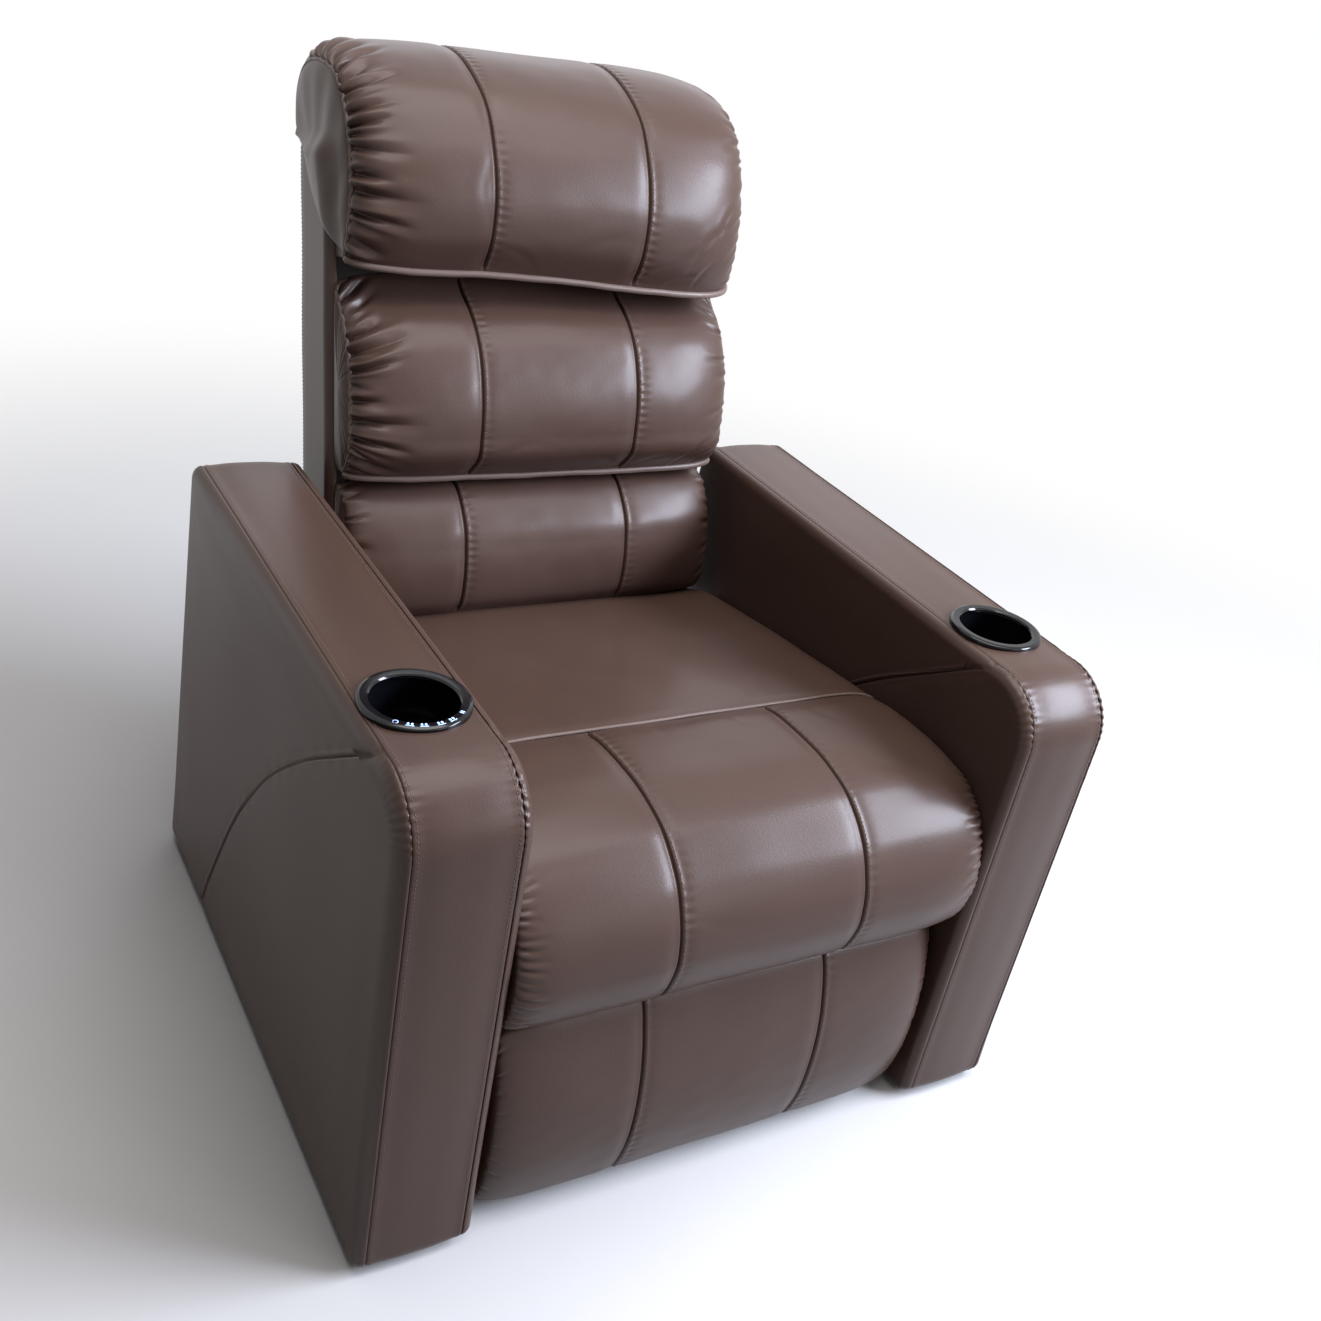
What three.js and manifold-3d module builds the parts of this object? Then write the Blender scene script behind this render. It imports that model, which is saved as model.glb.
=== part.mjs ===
// Cinema recliner seat: two box arms with cup holders, a seat that glides on rails between them,
// a three-tier padded back that reclines, and a footrest that folds out on parallel-arm links.
//
// Millimetres. +X is to the right as seen by someone who looks at the front, +Y runs from the front
// to the back, +Z is up. Shapes are worked out with Y = 0 at the front plane of the arms, and the
// finished chair is then moved so that the origin is on the floor, in the middle of its footprint.

import * as THREE from 'three';
import { mergeVertices } from 'three/addons/utils/BufferGeometryUtils.js';
import Module from 'manifold-3d';

const wasm = await Module();
wasm.setup();

// Sizes

// Clearances: pieces that touch keep the first gap, and a cut runs past its piece by the second.
const fitGap = 0.3;
const overrun = 5;

// Arms
const innerWidth = 600;
const armWidth = 132;
const armHeight = 604;
const armDepthTop = 730;
const armDepthBottom = 795;
const armCornerRadius = 70;
const sideCoverThickness = 12;
const topCoverThickness = 14;
const carcassWall = 12;
const glideHeight = 8;
const glideRadius = 16;
const glideInset = 30;

// Cup holders
const cupCentreY = 153;
const cupBoreRadius = 45;
const cupWall = 2.5;
const cupDepth = 80;
const cupFlangeRadius = 53;
const cupFlangeThickness = 1.6;
const cupRimRadius = 57;
const cupRimHeight = 6;
const cupRimRound = 1.8;

// Base between the arms
const baseTubeRadius = 15;
const baseTubeHeight = 45;
const baseTubeFrontY = 330;
const baseTubeRearY = 660;
const railFrontY = 245;
const railRearY = 700;
const railWall = 3;
const railWallHeight = 21;
const shoeWidth = 16;
const shoeHeight = 16;
const shoeFrontY = 330;
const shoeRearY = 650;
const powerBoxWidth = 150;
const powerBoxDepth = 70;
const powerBoxHeight = 40;
const inletWidth = 28;
const inletHeight = 20;
const inletDepth = 16;

// Side plates and links, as layers from the side plate outwards
const steelThickness = 5;
const layerPitch = 6;
const linkHalfWidth = 10;
const pinRadius = 5.7;
const pinClearance = 0.3;
const tiltPinPlay = 2.7;
const tiltEyeWall = 5;
const linkBay = 38;

// Footrest linkage, angles in degrees up from straight ahead
const drivePivotY = 150;
const drivePivotZ = 230;
const driveLinkLength = 190;
const driveRestAngle = -110;
const driveTravel = 100;
const carrierLength = 173.2;
const carrierAngle = 38.8;
const guideOffset = 34.6;
const tiltCrankOnDrive = 35;
const tiltCrankOnFootrest = 40;
const tiltCrankAngle = 75;
const driveTubeRadius = 14;
const driveLeverLength = 50;

// Footrest panel
const footrestSidePlay = 12;
const footrestTop = 276;
const footrestBottom = 18;
const footrestFrontY = -3;
const footrestPadDepth = 49;
const footrestBoardThickness = 14.7;
const footrestSeamX = 120;
const bracketHalfHeight = 52;

// Seat tray: the seat frame, springs, deck and front roll lie on a plane that falls to the rear
const seatRake = 7.7;
const seamY = 243;
const seamZ = 480;
const seatSidePlay = 3;
const deckLength = 400;
const cushionThickness = 75.4;
const rollReach = 239.2;
const rollDrop = 222;
const rollBack = 166.4;
const rollSeamX = 119;
const boardThickness = 22;
const frontBoardHeight = 135;
const rearRailHeight = 60;
const springWireRadius = 1.8;
const springSwing = 20;
const springPitch = 26;
const springSpacing = 130;

// Back, in its own frame: origin on the recline axis, leaning back by backLean
const reclineSetback = 60.7;
const reclineDrop = 11.7;
const backLean = 12;
const reclineTravel = 38;
const backSidePlay = 25;
const backPillowInset = 11;
const backFrontFace = 50.6;
const backDepth = 118;
const backBottom = 40;
const backTop = 640;
const backCoverThickness = 13;
const backCornerRadius = 24;
const postWidth = 22;
const backRailHeight = 40;
const reclinePinRadius = 8;
const hingeLobeRadius = 24;
const hingeStrapTop = 150;
const hingeStrapHalfWidth = 19;
const reclineLeverLength = 90;
const reclineTubeRadius = 10;

const lowerPillowBottom = 78;
const lowerPillowHeight = 170;
const lowerPillowDepth = 73.7;
const lowerPillowSeamX = 117;
const middlePillowBottom = 253;
const middlePillowHeight = 232;
const middlePillowDepth = 96.5;
const middlePillowSeamX = 109;
const headrestBottom = 504;
const headrestHeight = 260;
const headrestDepth = 103.3;
const headrestSeamX = 104;
const headrestOverTop = 3;
const channelDepth = 6;
const channelHalfWidth = 7;

// Drives: a motor and gearbox that push a rod, one for the footrest and one for the back
const driveBay = 192;
const gearboxWidth = 60;
const gearboxLength = 70;
const gearboxHeight = 60;
const motorRadius = 28;
const motorLength = 95;
const guideTubeRadius = 16;
const rodRadius = 9;
const rodInGuide = 125;
const guideTubeLength = 175;
const guideTubeEnd = 10;
const motorTubeRadius = 12;
const clevisRadius = 19;
const clevisThickness = 16;
const clevisReach = 100;
const yokeThickness = 6;
const yokeHalfLength = 18;
const yokeSlotPlay = 2.6;
const yokeWall = 7;
const leverPinRadius = 5;
const leverPinLength = 17;
const yokeToGuide = 20;
const footLinePlay = 10.5;
const backLinePlay = 4;

// Worked out from the sizes above
const degree = Math.PI / 180;
const innerHalf = innerWidth / 2;
const plateInnerX = innerHalf - linkBay;
const footrestWidth = innerWidth - 2 * footrestSidePlay;
const seatWidth = innerWidth - 2 * seatSidePlay;
const backWidth = innerWidth - 2 * backSidePlay;
const pillowWidth = backWidth - 2 * backPillowInset;
const driveOffsetX = plateInnerX - driveBay;
const outerHalf = innerHalf + armWidth;
const armMiddleX = innerHalf + armWidth / 2;
const coreInnerX = innerHalf + sideCoverThickness + fitGap;
const coreOuterX = outerHalf - sideCoverThickness - fitGap;
const armBase = glideHeight + fitGap;
const sides = [
  ['left', -1],
  ['right', 1],
];

/** A place on the raked seat tray, measured from the cross seam, as a place in the side view. */
function trayPlace(along, up) {
  const turn = seatRake * degree;
  return {
    y: seamY + along * Math.cos(turn) + up * Math.sin(turn),
    z: seamZ - along * Math.sin(turn) + up * Math.cos(turn),
  };
}

// The recline axis keeps its distance behind and below the rear edge of the deck.
const deckRear = trayPlace(deckLength, -cushionThickness);
const reclineY = deckRear.y + reclineSetback;
const reclineZ = deckRear.z - reclineDrop;

// Materials
const leatherette = (color = 0x5a4740) => new THREE.MeshStandardMaterial({
  color,
  roughness: 0.42,
  metalness: 0,
});
const plywood = () => new THREE.MeshStandardMaterial({ color: 0xb8936a, roughness: 0.8, metalness: 0 });
const blackSteel = () => new THREE.MeshStandardMaterial({ color: 0x26282b, roughness: 0.5, metalness: 0.8 });
const zincSteel = () => new THREE.MeshStandardMaterial({ color: 0x9fa3a6, roughness: 0.4, metalness: 0.9 });
const glossBlack = () => new THREE.MeshStandardMaterial({ color: 0x0b0c0f, roughness: 0.12, metalness: 0 });
const mattBlack = () => new THREE.MeshStandardMaterial({ color: 0x1c1c1e, roughness: 0.7, metalness: 0 });

// Solids

/** A closed geometry as a solid for joining and cutting. */
function toSolid(geometry) {
  const bare = new THREE.BufferGeometry();
  bare.setAttribute('position', geometry.getAttribute('position'));
  if (geometry.index) bare.setIndex(geometry.index);
  const welded = mergeVertices(bare);
  const vertProperties = Float32Array.from(welded.getAttribute('position').array);
  const triVerts = Uint32Array.from(welded.index.array);
  return new wasm.Manifold(new wasm.Mesh({ numProp: 3, vertProperties, triVerts }));
}

/** A joined or cut solid back as a geometry. */
function toGeometry(solid) {
  const { vertProperties, triVerts } = solid.getMesh();
  const geometry = new THREE.BufferGeometry();
  geometry.setAttribute('position', new THREE.BufferAttribute(vertProperties, 3));
  geometry.setIndex(new THREE.BufferAttribute(triVerts, 1));
  return geometry;
}

const joined = (...parts) => toGeometry(parts.map(toSolid).reduce((a, b) => a.add(b)));
const cut = (body, ...tools) => toGeometry(tools.map(toSolid).reduce((a, b) => a.subtract(b), toSolid(body)));

/** A named piece of the chair. */
function piece(name, geometry, material) {
  const mesh = new THREE.Mesh(geometry, material);
  mesh.name = name;
  return mesh;
}

const yzAsXY = new THREE.Matrix4().makeBasis(
  new THREE.Vector3(0, 1, 0),
  new THREE.Vector3(0, 0, 1),
  new THREE.Vector3(1, 0, 0),
);

/** An outline drawn in (y, z), made solid between two x places. */
function slab(outline, xa, xb, curveSegments = 6) {
  const shape = outline instanceof THREE.Shape ? outline : new THREE.Shape(outline);
  const depth = Math.abs(xb - xa);
  const geometry = new THREE.ExtrudeGeometry(shape, { depth, bevelEnabled: false, curveSegments });
  return geometry.applyMatrix4(yzAsXY).translate(Math.min(xa, xb), 0, 0);
}

/** A round bar that runs along X. */
function crossBar(radius, xa, xb, at, segments = 20) {
  const bar = new THREE.CylinderGeometry(radius, radius, Math.abs(xb - xa), segments);
  return bar.rotateZ(Math.PI / 2).translate((xa + xb) / 2, at.y, at.z);
}

/** A round bar that runs along Y. */
function lengthBar(radius, ya, yb, x, z, segments = 20) {
  const bar = new THREE.CylinderGeometry(radius, radius, Math.abs(yb - ya), segments);
  return bar.translate(x, (ya + yb) / 2, z);
}

/** A block between two corners. */
function block(xa, xb, ya, yb, za, zb) {
  const box = new THREE.BoxGeometry(Math.abs(xb - xa), Math.abs(yb - ya), Math.abs(zb - za));
  return box.translate((xa + xb) / 2, (ya + yb) / 2, (za + zb) / 2);
}

/** A place in the side view at a distance and an angle from another, 0 degrees being straight ahead. */
function polar(from, length, angle) {
  return {
    y: from.y - length * Math.cos(angle * degree),
    z: from.z + length * Math.sin(angle * degree),
  };
}

/** A closed stadium round two places in the side view, as a Shape with round holes. */
function stadium(a, b, halfWidth, holes = []) {
  const shape = new THREE.Shape();
  const heading = Math.atan2(b.z - a.z, b.y - a.y);
  shape.absarc(a.y, a.z, halfWidth, heading + Math.PI / 2, heading - Math.PI / 2, false);
  shape.absarc(b.y, b.z, halfWidth, heading - Math.PI / 2, heading + Math.PI / 2, false);
  shape.closePath();
  for (const { at, radius } of holes) {
    const hole = new THREE.Path();
    hole.absarc(at.y, at.z, radius, 0, 2 * Math.PI, true);
    shape.holes.push(hole);
  }
  return shape;
}

/** The two x faces of a link layer, counted outwards from the side plate, on one side of the chair. */
function layer(index, sign) {
  const inner = plateInnerX + index * layerPitch;
  return [sign * inner, sign * (inner + steelThickness)];
}

// Arms

/** The edge of an arm in the side view, from the front foot over the top to the rear foot. */
function armEdge(inset, base = armBase) {
  const radius = armCornerRadius - inset;
  const top = armHeight - inset;
  const corner = new THREE.EllipseCurve(inset + radius, top - radius, radius, radius, Math.PI, Math.PI / 2, true);
  return [
    new THREE.Vector2(inset, base),
    ...corner.getPoints(10),
    new THREE.Vector2(armDepthTop - inset, top),
    new THREE.Vector2(armDepthBottom - inset, base),
  ];
}

/** An upright round bar or drill, centred on the cup holder. */
function cupColumn(radius, x, bottom, top) {
  const column = new THREE.CylinderGeometry(radius, radius, top - bottom, 32);
  return column.rotateX(Math.PI / 2).translate(x, cupCentreY, (bottom + top) / 2);
}

function arm(side, sign) {
  const group = new THREE.Group();
  const middleX = sign * armMiddleX;
  const cupHole = cupBoreRadius + cupWall + fitGap;
  const holeBottom = armHeight - cupDepth - overrun;
  const drill = cupColumn(cupHole, middleX, holeBottom, armHeight + overrun);

  const carcassInset = topCoverThickness + fitGap;
  const carcass = slab(armEdge(carcassInset), sign * coreInnerX, sign * coreOuterX);
  const cavityEdge = armEdge(carcassInset + carcassWall, armBase - overrun);
  const cavity = slab(cavityEdge, sign * (coreInnerX + carcassWall), sign * (coreOuterX - carcassWall));
  group.add(piece(`arm_frame_${side}`, cut(carcass, cavity, drill), plywood()));

  const outerCover = slab(armEdge(0), sign * (outerHalf - sideCoverThickness), sign * outerHalf);
  group.add(piece(`arm_outer_cover_${side}`, outerCover, leatherette()));
  const innerCover = slab(armEdge(0), sign * innerHalf, sign * (innerHalf + sideCoverThickness));
  group.add(piece(`arm_inner_cover_${side}`, innerCover, leatherette()));
  const band = [...armEdge(0), ...armEdge(topCoverThickness).reverse()];
  const topCover = cut(slab(band, sign * coreInnerX, sign * coreOuterX), drill);
  group.add(piece(`arm_top_cover_${side}`, topCover, leatherette(0x604c44)));

  for (const [place, y] of [['front', glideInset], ['rear', armDepthBottom - glideInset]]) {
    const glide = new THREE.CylinderGeometry(glideRadius, glideRadius, glideHeight, 24);
    glide.rotateX(Math.PI / 2);
    const foot = piece(`glide_${place}_${side}`, glide, mattBlack());
    foot.position.set(middleX, y, glideHeight / 2);
    group.add(foot);
  }
  return group;
}

/** Cup with a floor, a wall and a flange, turned round its own axis, with its flange seat at z = 0. */
function cupProfile() {
  const outer = cupBoreRadius + cupWall;
  return [
    [0, -cupDepth],
    [outer, -cupDepth],
    [outer, 0],
    [cupFlangeRadius, 0],
    [cupFlangeRadius, cupFlangeThickness],
    [cupBoreRadius, cupFlangeThickness],
    [cupBoreRadius, cupWall - cupDepth],
    [0, cupWall - cupDepth],
  ].map(([r, z]) => new THREE.Vector2(r, z));
}

/** Ring that caps the cup flange, with its outer and inner top edges taken off. */
function rimProfile() {
  const inner = cupBoreRadius + fitGap;
  const flange = cupFlangeRadius + fitGap;
  const ceiling = cupFlangeThickness + fitGap;
  return [
    [inner, ceiling],
    [flange, ceiling],
    [flange, 0],
    [cupRimRadius, 0],
    [cupRimRadius, cupRimHeight - cupRimRound],
    [cupRimRadius - cupRimRound, cupRimHeight],
    [inner + cupRimRound, cupRimHeight],
    [inner, cupRimHeight - cupRimRound],
    [inner, ceiling],
  ].map(([r, z]) => new THREE.Vector2(r, z));
}

function turned(profile) {
  return new THREE.LatheGeometry(profile, 32).rotateX(Math.PI / 2);
}

function cupHolders() {
  const group = new THREE.Group();
  for (const [side, sign] of sides) {
    const cup = piece(`cup_holder_${side}`, turned(cupProfile()), glossBlack());
    cup.position.set(sign * armMiddleX, cupCentreY, armHeight + fitGap);
    const rim = piece(`cup_rim_${side}`, turned(rimProfile()), glossBlack());
    rim.position.copy(cup.position);
    group.add(cup, rim);
  }
  return group;
}

// Base

function base() {
  const group = new THREE.Group();
  const reach = innerHalf - fitGap;
  for (const [place, y] of [['front', baseTubeFrontY], ['rear', baseTubeRearY]]) {
    const tube = crossBar(baseTubeRadius, -reach, reach, { y, z: baseTubeHeight });
    group.add(piece(`base_tube_${place}`, tube, blackSteel()));
  }
  const plateMiddleX = plateInnerX + steelThickness / 2;
  const railBottom = baseTubeHeight + baseTubeRadius + fitGap;
  const railInnerHalf = shoeWidth / 2 + fitGap;
  const railOuterHalf = railInnerHalf + railWall;
  for (const [side, sign] of sides) {
    const channel = new THREE.Shape();
    channel.moveTo(-railOuterHalf, 0);
    channel.lineTo(railOuterHalf, 0);
    channel.lineTo(railOuterHalf, railWallHeight);
    channel.lineTo(railInnerHalf, railWallHeight);
    channel.lineTo(railInnerHalf, railWall);
    channel.lineTo(-railInnerHalf, railWall);
    channel.lineTo(-railInnerHalf, railWallHeight);
    channel.lineTo(-railOuterHalf, railWallHeight);
    channel.closePath();
    const rail = new THREE.ExtrudeGeometry(channel, { depth: railRearY - railFrontY, bevelEnabled: false });
    const mesh = piece(`base_rail_${side}`, rail.rotateX(Math.PI / 2), zincSteel());
    mesh.position.set(sign * plateMiddleX, railRearY, railBottom);
    group.add(mesh);
  }

  const boxFrontY = baseTubeRearY + baseTubeRadius + fitGap;
  const boxRearY = boxFrontY + powerBoxDepth;
  const boxBottom = baseTubeHeight - powerBoxHeight / 2;
  const boxTop = baseTubeHeight + powerBoxHeight / 2;
  const inlet = block(
    -inletWidth / 2,
    inletWidth / 2,
    boxRearY - inletDepth,
    boxRearY + overrun,
    baseTubeHeight - inletHeight / 2,
    baseTubeHeight + inletHeight / 2,
  );
  const powerBox = block(-powerBoxWidth / 2, powerBoxWidth / 2, boxFrontY, boxRearY, boxBottom, boxTop);
  group.add(piece('power_supply', cut(powerBox, inlet), mattBlack()));
  return group;
}

// Footrest linkage places, at rest
const drivePivot = { y: drivePivotY, z: drivePivotZ };
const knee = polar(drivePivot, driveLinkLength, driveRestAngle);
const footrestPivot = polar(knee, carrierLength, carrierAngle);
const guideTop = polar(drivePivot, guideOffset, carrierAngle);
const guideFoot = polar(knee, guideOffset, carrierAngle);
const tiltOnDrive = polar(knee, tiltCrankOnDrive, driveRestAngle + 180);
const tiltOnFootrest = polar(footrestPivot, tiltCrankOnFootrest, tiltCrankAngle);
const leverTip = polar(drivePivot, driveLeverLength, -90 - driveTravel / 2);
const leverMiddleDrop = driveLeverLength * (1 + Math.cos(driveTravel / 2 * degree)) / 2;
const footDriveZ = drivePivotZ - leverMiddleDrop;

/** A flat link with pin holes, and with studs that reach into the layers nearer the side plate. */
function flatLink(index, sign, ends, holes, studs) {
  const [near, far] = layer(index, sign);
  const holeRadius = pinRadius + pinClearance;
  const outline = stadium(ends[0], ends[1], linkHalfWidth, holes.map((at) => ({ at, radius: holeRadius })));
  const body = slab(outline, near, far);
  const pins = studs.map(({ at, layers }) => {
    const tip = near - sign * (layers * layerPitch - fitGap);
    return crossBar(pinRadius, tip, near + sign * steelThickness / 2, at, 16);
  });
  return joined(body, ...pins);
}

function footrestLinks() {
  const group = new THREE.Group();
  const tubeReach = plateInnerX + layerPitch + steelThickness;
  const tube = crossBar(driveTubeRadius, -tubeReach, tubeReach, drivePivot, 24);
  const leverX = rodRadius + 2 * fitGap;
  const leverNear = -driveOffsetX - leverX;
  const lever = slab(stadium(drivePivot, leverTip, linkHalfWidth), leverNear - yokeThickness, leverNear);
  const pin = crossBar(leverPinRadius, leverNear - yokeThickness / 2, leverNear + leverPinLength, leverTip, 16);
  group.add(piece('drive_tube', joined(tube, lever, pin), blackSteel()));

  for (const [side, sign] of sides) {
    const [near, far] = layer(1, sign);
    const outline = stadium(drivePivot, knee, linkHalfWidth, [
      { at: knee, radius: pinRadius + pinClearance },
      { at: tiltOnDrive, radius: pinRadius + pinClearance },
    ]);
    const hub = crossBar(driveTubeRadius + railWall + fitGap, near, far, drivePivot, 24);
    const bore = crossBar(driveTubeRadius + fitGap, near - sign * overrun, far + sign * overrun, drivePivot, 24);
    const driveLink = cut(joined(slab(outline, near, far), hub), bore);
    group.add(piece(`drive_link_${side}`, driveLink, blackSteel()));

    const carrier = flatLink(2, sign, [knee, footrestPivot], [footrestPivot, guideFoot], [
      { at: knee, layers: 1 },
    ]);
    group.add(piece(`carrier_link_${side}`, carrier, blackSteel()));

    const guide = flatLink(3, sign, [guideTop, guideFoot], [], [
      { at: guideTop, layers: 3 },
      { at: guideFoot, layers: 1 },
    ]);
    group.add(piece(`guide_link_${side}`, guide, blackSteel()));

    const tiltBar = flatLink(4, sign, [tiltOnDrive, tiltOnFootrest], [], [
      { at: tiltOnDrive, layers: 3 },
    ]);
    const [eyeNear, eyeFar] = layer(4, sign);
    const play = pinRadius + tiltPinPlay;
    const eye = crossBar(play + tiltEyeWall, eyeNear, eyeFar, tiltOnFootrest, 24);
    const eyeHole = crossBar(play, eyeNear - sign * overrun, eyeFar + sign * overrun, tiltOnFootrest, 20);
    const tilt = cut(joined(tiltBar, eye), eyeHole);
    group.add(piece(`tilt_link_${side}`, tilt, blackSteel()));
  }
  return group;
}

// Cushions

/** Points along a smooth line through places given as shares of a depth and a height. */
function smoothLine(shares, origin, depth, height, count) {
  const places = shares.map(([a, b]) => new THREE.Vector2(origin.y + a * depth, origin.z + b * height));
  return new THREE.SplineCurve(places).getSpacedPoints(count);
}

/**
 * A crowned cushion. The section in (y, z) is carried across X. Towards the ends it is drawn in
 * towards its seated plane and its middle height, and at each seam a channel is pressed in along the
 * shown part of the section, which is its first points.
 */
function cushion({ halfWidth, section, shown, seatedY, middleZ, draw, crownPower, seamX, widthShares }) {
  const seams = seamX ? [seamX - channelHalfWidth, seamX, seamX + channelHalfWidth] : [];
  const half = [...widthShares.map((share) => share * halfWidth), ...seams].sort((a, b) => a - b);
  const stations = [...half.slice(1).reverse().map((x) => -x), ...half];
  const count = section.length;
  const clockwise = THREE.ShapeUtils.isClockWise(section);
  const inward = section.map((p, i) => {
    const before = section[(i + count - 1) % count];
    const after = section[(i + 1) % count];
    const normal = new THREE.Vector2(after.y - before.y, before.x - after.x).normalize();
    return clockwise ? normal : normal.negate();
  });

  const positions = [];
  for (const x of stations) {
    const share = Math.min(1, Math.abs(x) / halfWidth);
    const pull = 1 - Math.sqrt(1 - share ** crownPower);
    const onSeam = seamX && Math.abs(Math.abs(x) - seamX) < channelHalfWidth / 2;
    section.forEach((p, i) => {
      const press = onSeam && i > 0 && i < shown - 1 ? channelDepth : 0;
      const y = p.x + press * inward[i].x;
      const z = p.y + press * inward[i].y;
      const drawY = y < seatedY ? draw.front : draw.rear;
      const drawZ = z > middleZ ? draw.top : draw.bottom;
      positions.push(x);
      positions.push(seatedY + (y - seatedY) * (1 - drawY * pull));
      positions.push(middleZ + (z - middleZ) * (1 - drawZ * pull));
    });
  }

  const faces = [];
  const addFace = (a, b, c) => (clockwise ? faces.push(c, b, a) : faces.push(a, b, c));
  for (let s = 0; s < stations.length - 1; s += 1) {
    for (let i = 0; i < count; i += 1) {
      const next = (i + 1) % count;
      const [a, b] = [s * count + i, s * count + next];
      addFace(a, b, b + count);
      addFace(a, b + count, a + count);
    }
  }
  const last = (stations.length - 1) * count;
  for (const [i, j, k] of THREE.ShapeUtils.triangulateShape(section, [])) {
    faces.push(k, j, i);
    faces.push(last + i, last + j, last + k);
  }
  const geometry = new THREE.BufferGeometry();
  geometry.setAttribute('position', new THREE.BufferAttribute(new Float32Array(positions), 3));
  geometry.setIndex(faces);
  return geometry;
}

const pillowWidthShares = [0, 0.2, 0.6, 0.75, 0.87, 0.95, 0.985, 1];
const deckWidthShares = [0, 0.5, 0.75, 0.88, 0.95, 0.985, 1];

// Footrest panel
const footrestShares = [
  [0.98, 0], [0.47, 0.016], [0.1, 0.22], [0, 0.45], [0.1, 0.667], [0.347, 0.853], [0.633, 0.977], [0.918, 1],
];

function footrest() {
  const group = new THREE.Group();
  const padBack = footrestFrontY + footrestPadDepth;
  const height = footrestTop - footrestBottom;
  const origin = { y: footrestFrontY, z: footrestBottom };
  const front = smoothLine(footrestShares, origin, footrestPadDepth, height, 14);
  const section = [
    ...front,
    new THREE.Vector2(padBack, footrestTop),
    new THREE.Vector2(padBack, footrestBottom + height / 2),
    new THREE.Vector2(padBack, footrestBottom),
  ];
  const pad = cushion({
    halfWidth: footrestWidth / 2,
    section,
    shown: front.length,
    seatedY: padBack,
    middleZ: footrestBottom + height / 2,
    draw: { front: 0.45, rear: 0, top: 0.1, bottom: 0.1 },
    crownPower: 8,
    seamX: footrestSeamX,
    widthShares: pillowWidthShares,
  });
  group.add(piece('footrest_pad', pad, leatherette()));

  const boardFront = padBack + fitGap;
  const boardRear = boardFront + footrestBoardThickness;
  const [, boardHalf] = layer(3, 1);
  const board = block(-boardHalf, boardHalf, boardFront, boardRear, footrestBottom, footrestTop);
  group.add(piece('footrest_board', board, plywood()));

  for (const [side, sign] of sides) {
    const [near, far] = layer(3, sign);
    const edgeY = boardRear + fitGap;
    const top = Math.max(tiltOnFootrest.z + linkHalfWidth, footrestPivot.z + bracketHalfHeight);
    const outline = new THREE.Shape();
    outline.moveTo(edgeY, footrestPivot.z - bracketHalfHeight);
    outline.lineTo(footrestPivot.y, footrestPivot.z - bracketHalfHeight);
    outline.lineTo(footrestPivot.y + linkHalfWidth, footrestPivot.z - linkHalfWidth);
    outline.lineTo(footrestPivot.y + linkHalfWidth, footrestPivot.z + linkHalfWidth);
    outline.lineTo(tiltOnFootrest.y + linkHalfWidth, top);
    outline.lineTo(edgeY, top);
    outline.closePath();
    const middleX = near + sign * steelThickness / 2;
    const [, tiltFar] = layer(4, sign);
    const bracket = joined(
      slab(outline, near, far),
      crossBar(pinRadius, near - sign * (layerPitch - fitGap), middleX, footrestPivot, 16),
      crossBar(pinRadius, middleX, tiltFar, tiltOnFootrest, 16),
    );
    group.add(piece(`footrest_bracket_${side}`, bracket, blackSteel()));
  }
  return group;
}

// Seat cushions and springs, in the frame of the seat tray

const rollShares = [
  [0, 0], [-0.15, 0.01], [-0.34, -0.004], [-0.53, -0.04], [-0.72, -0.118], [-0.823, -0.202],
  [-0.904, -0.3], [-0.954, -0.403], [-0.989, -0.53], [-1, -0.636], [-0.992, -0.74],
  [-0.953, -0.852], [-0.9, -0.945], [-0.83, -0.99], [-0.71, -1],
];
const deckShares = [[0, -0.12], [0.03, 0], [0.3, 0.02], [0.6, 0.02], [0.9, 0], [0.985, -0.06], [1, -0.3]];
const springTop = cushionThickness + fitGap;

/** A sinuous spring: wire that swings from side to side between the front board and the rear rail. */
function sinuousSpring(x, from, to, height) {
  const bends = Math.round((to - from) / springPitch);
  const places = [];
  for (let i = 0; i <= bends; i += 1) {
    const swing = i === 0 || i === bends ? 0 : springSwing * (i % 2 ? 1 : -1);
    places.push(new THREE.Vector3(x + swing, from + (to - from) * i / bends, height));
  }
  const section = new THREE.Shape();
  section.absarc(0, 0, springWireRadius, 0, 2 * Math.PI, false);
  const path = new THREE.CatmullRomCurve3(places, false, 'centripetal');
  return new THREE.ExtrudeGeometry(section, {
    steps: bends * 2,
    extrudePath: path,
    bevelEnabled: false,
    curveSegments: 3,
  });
}

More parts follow.
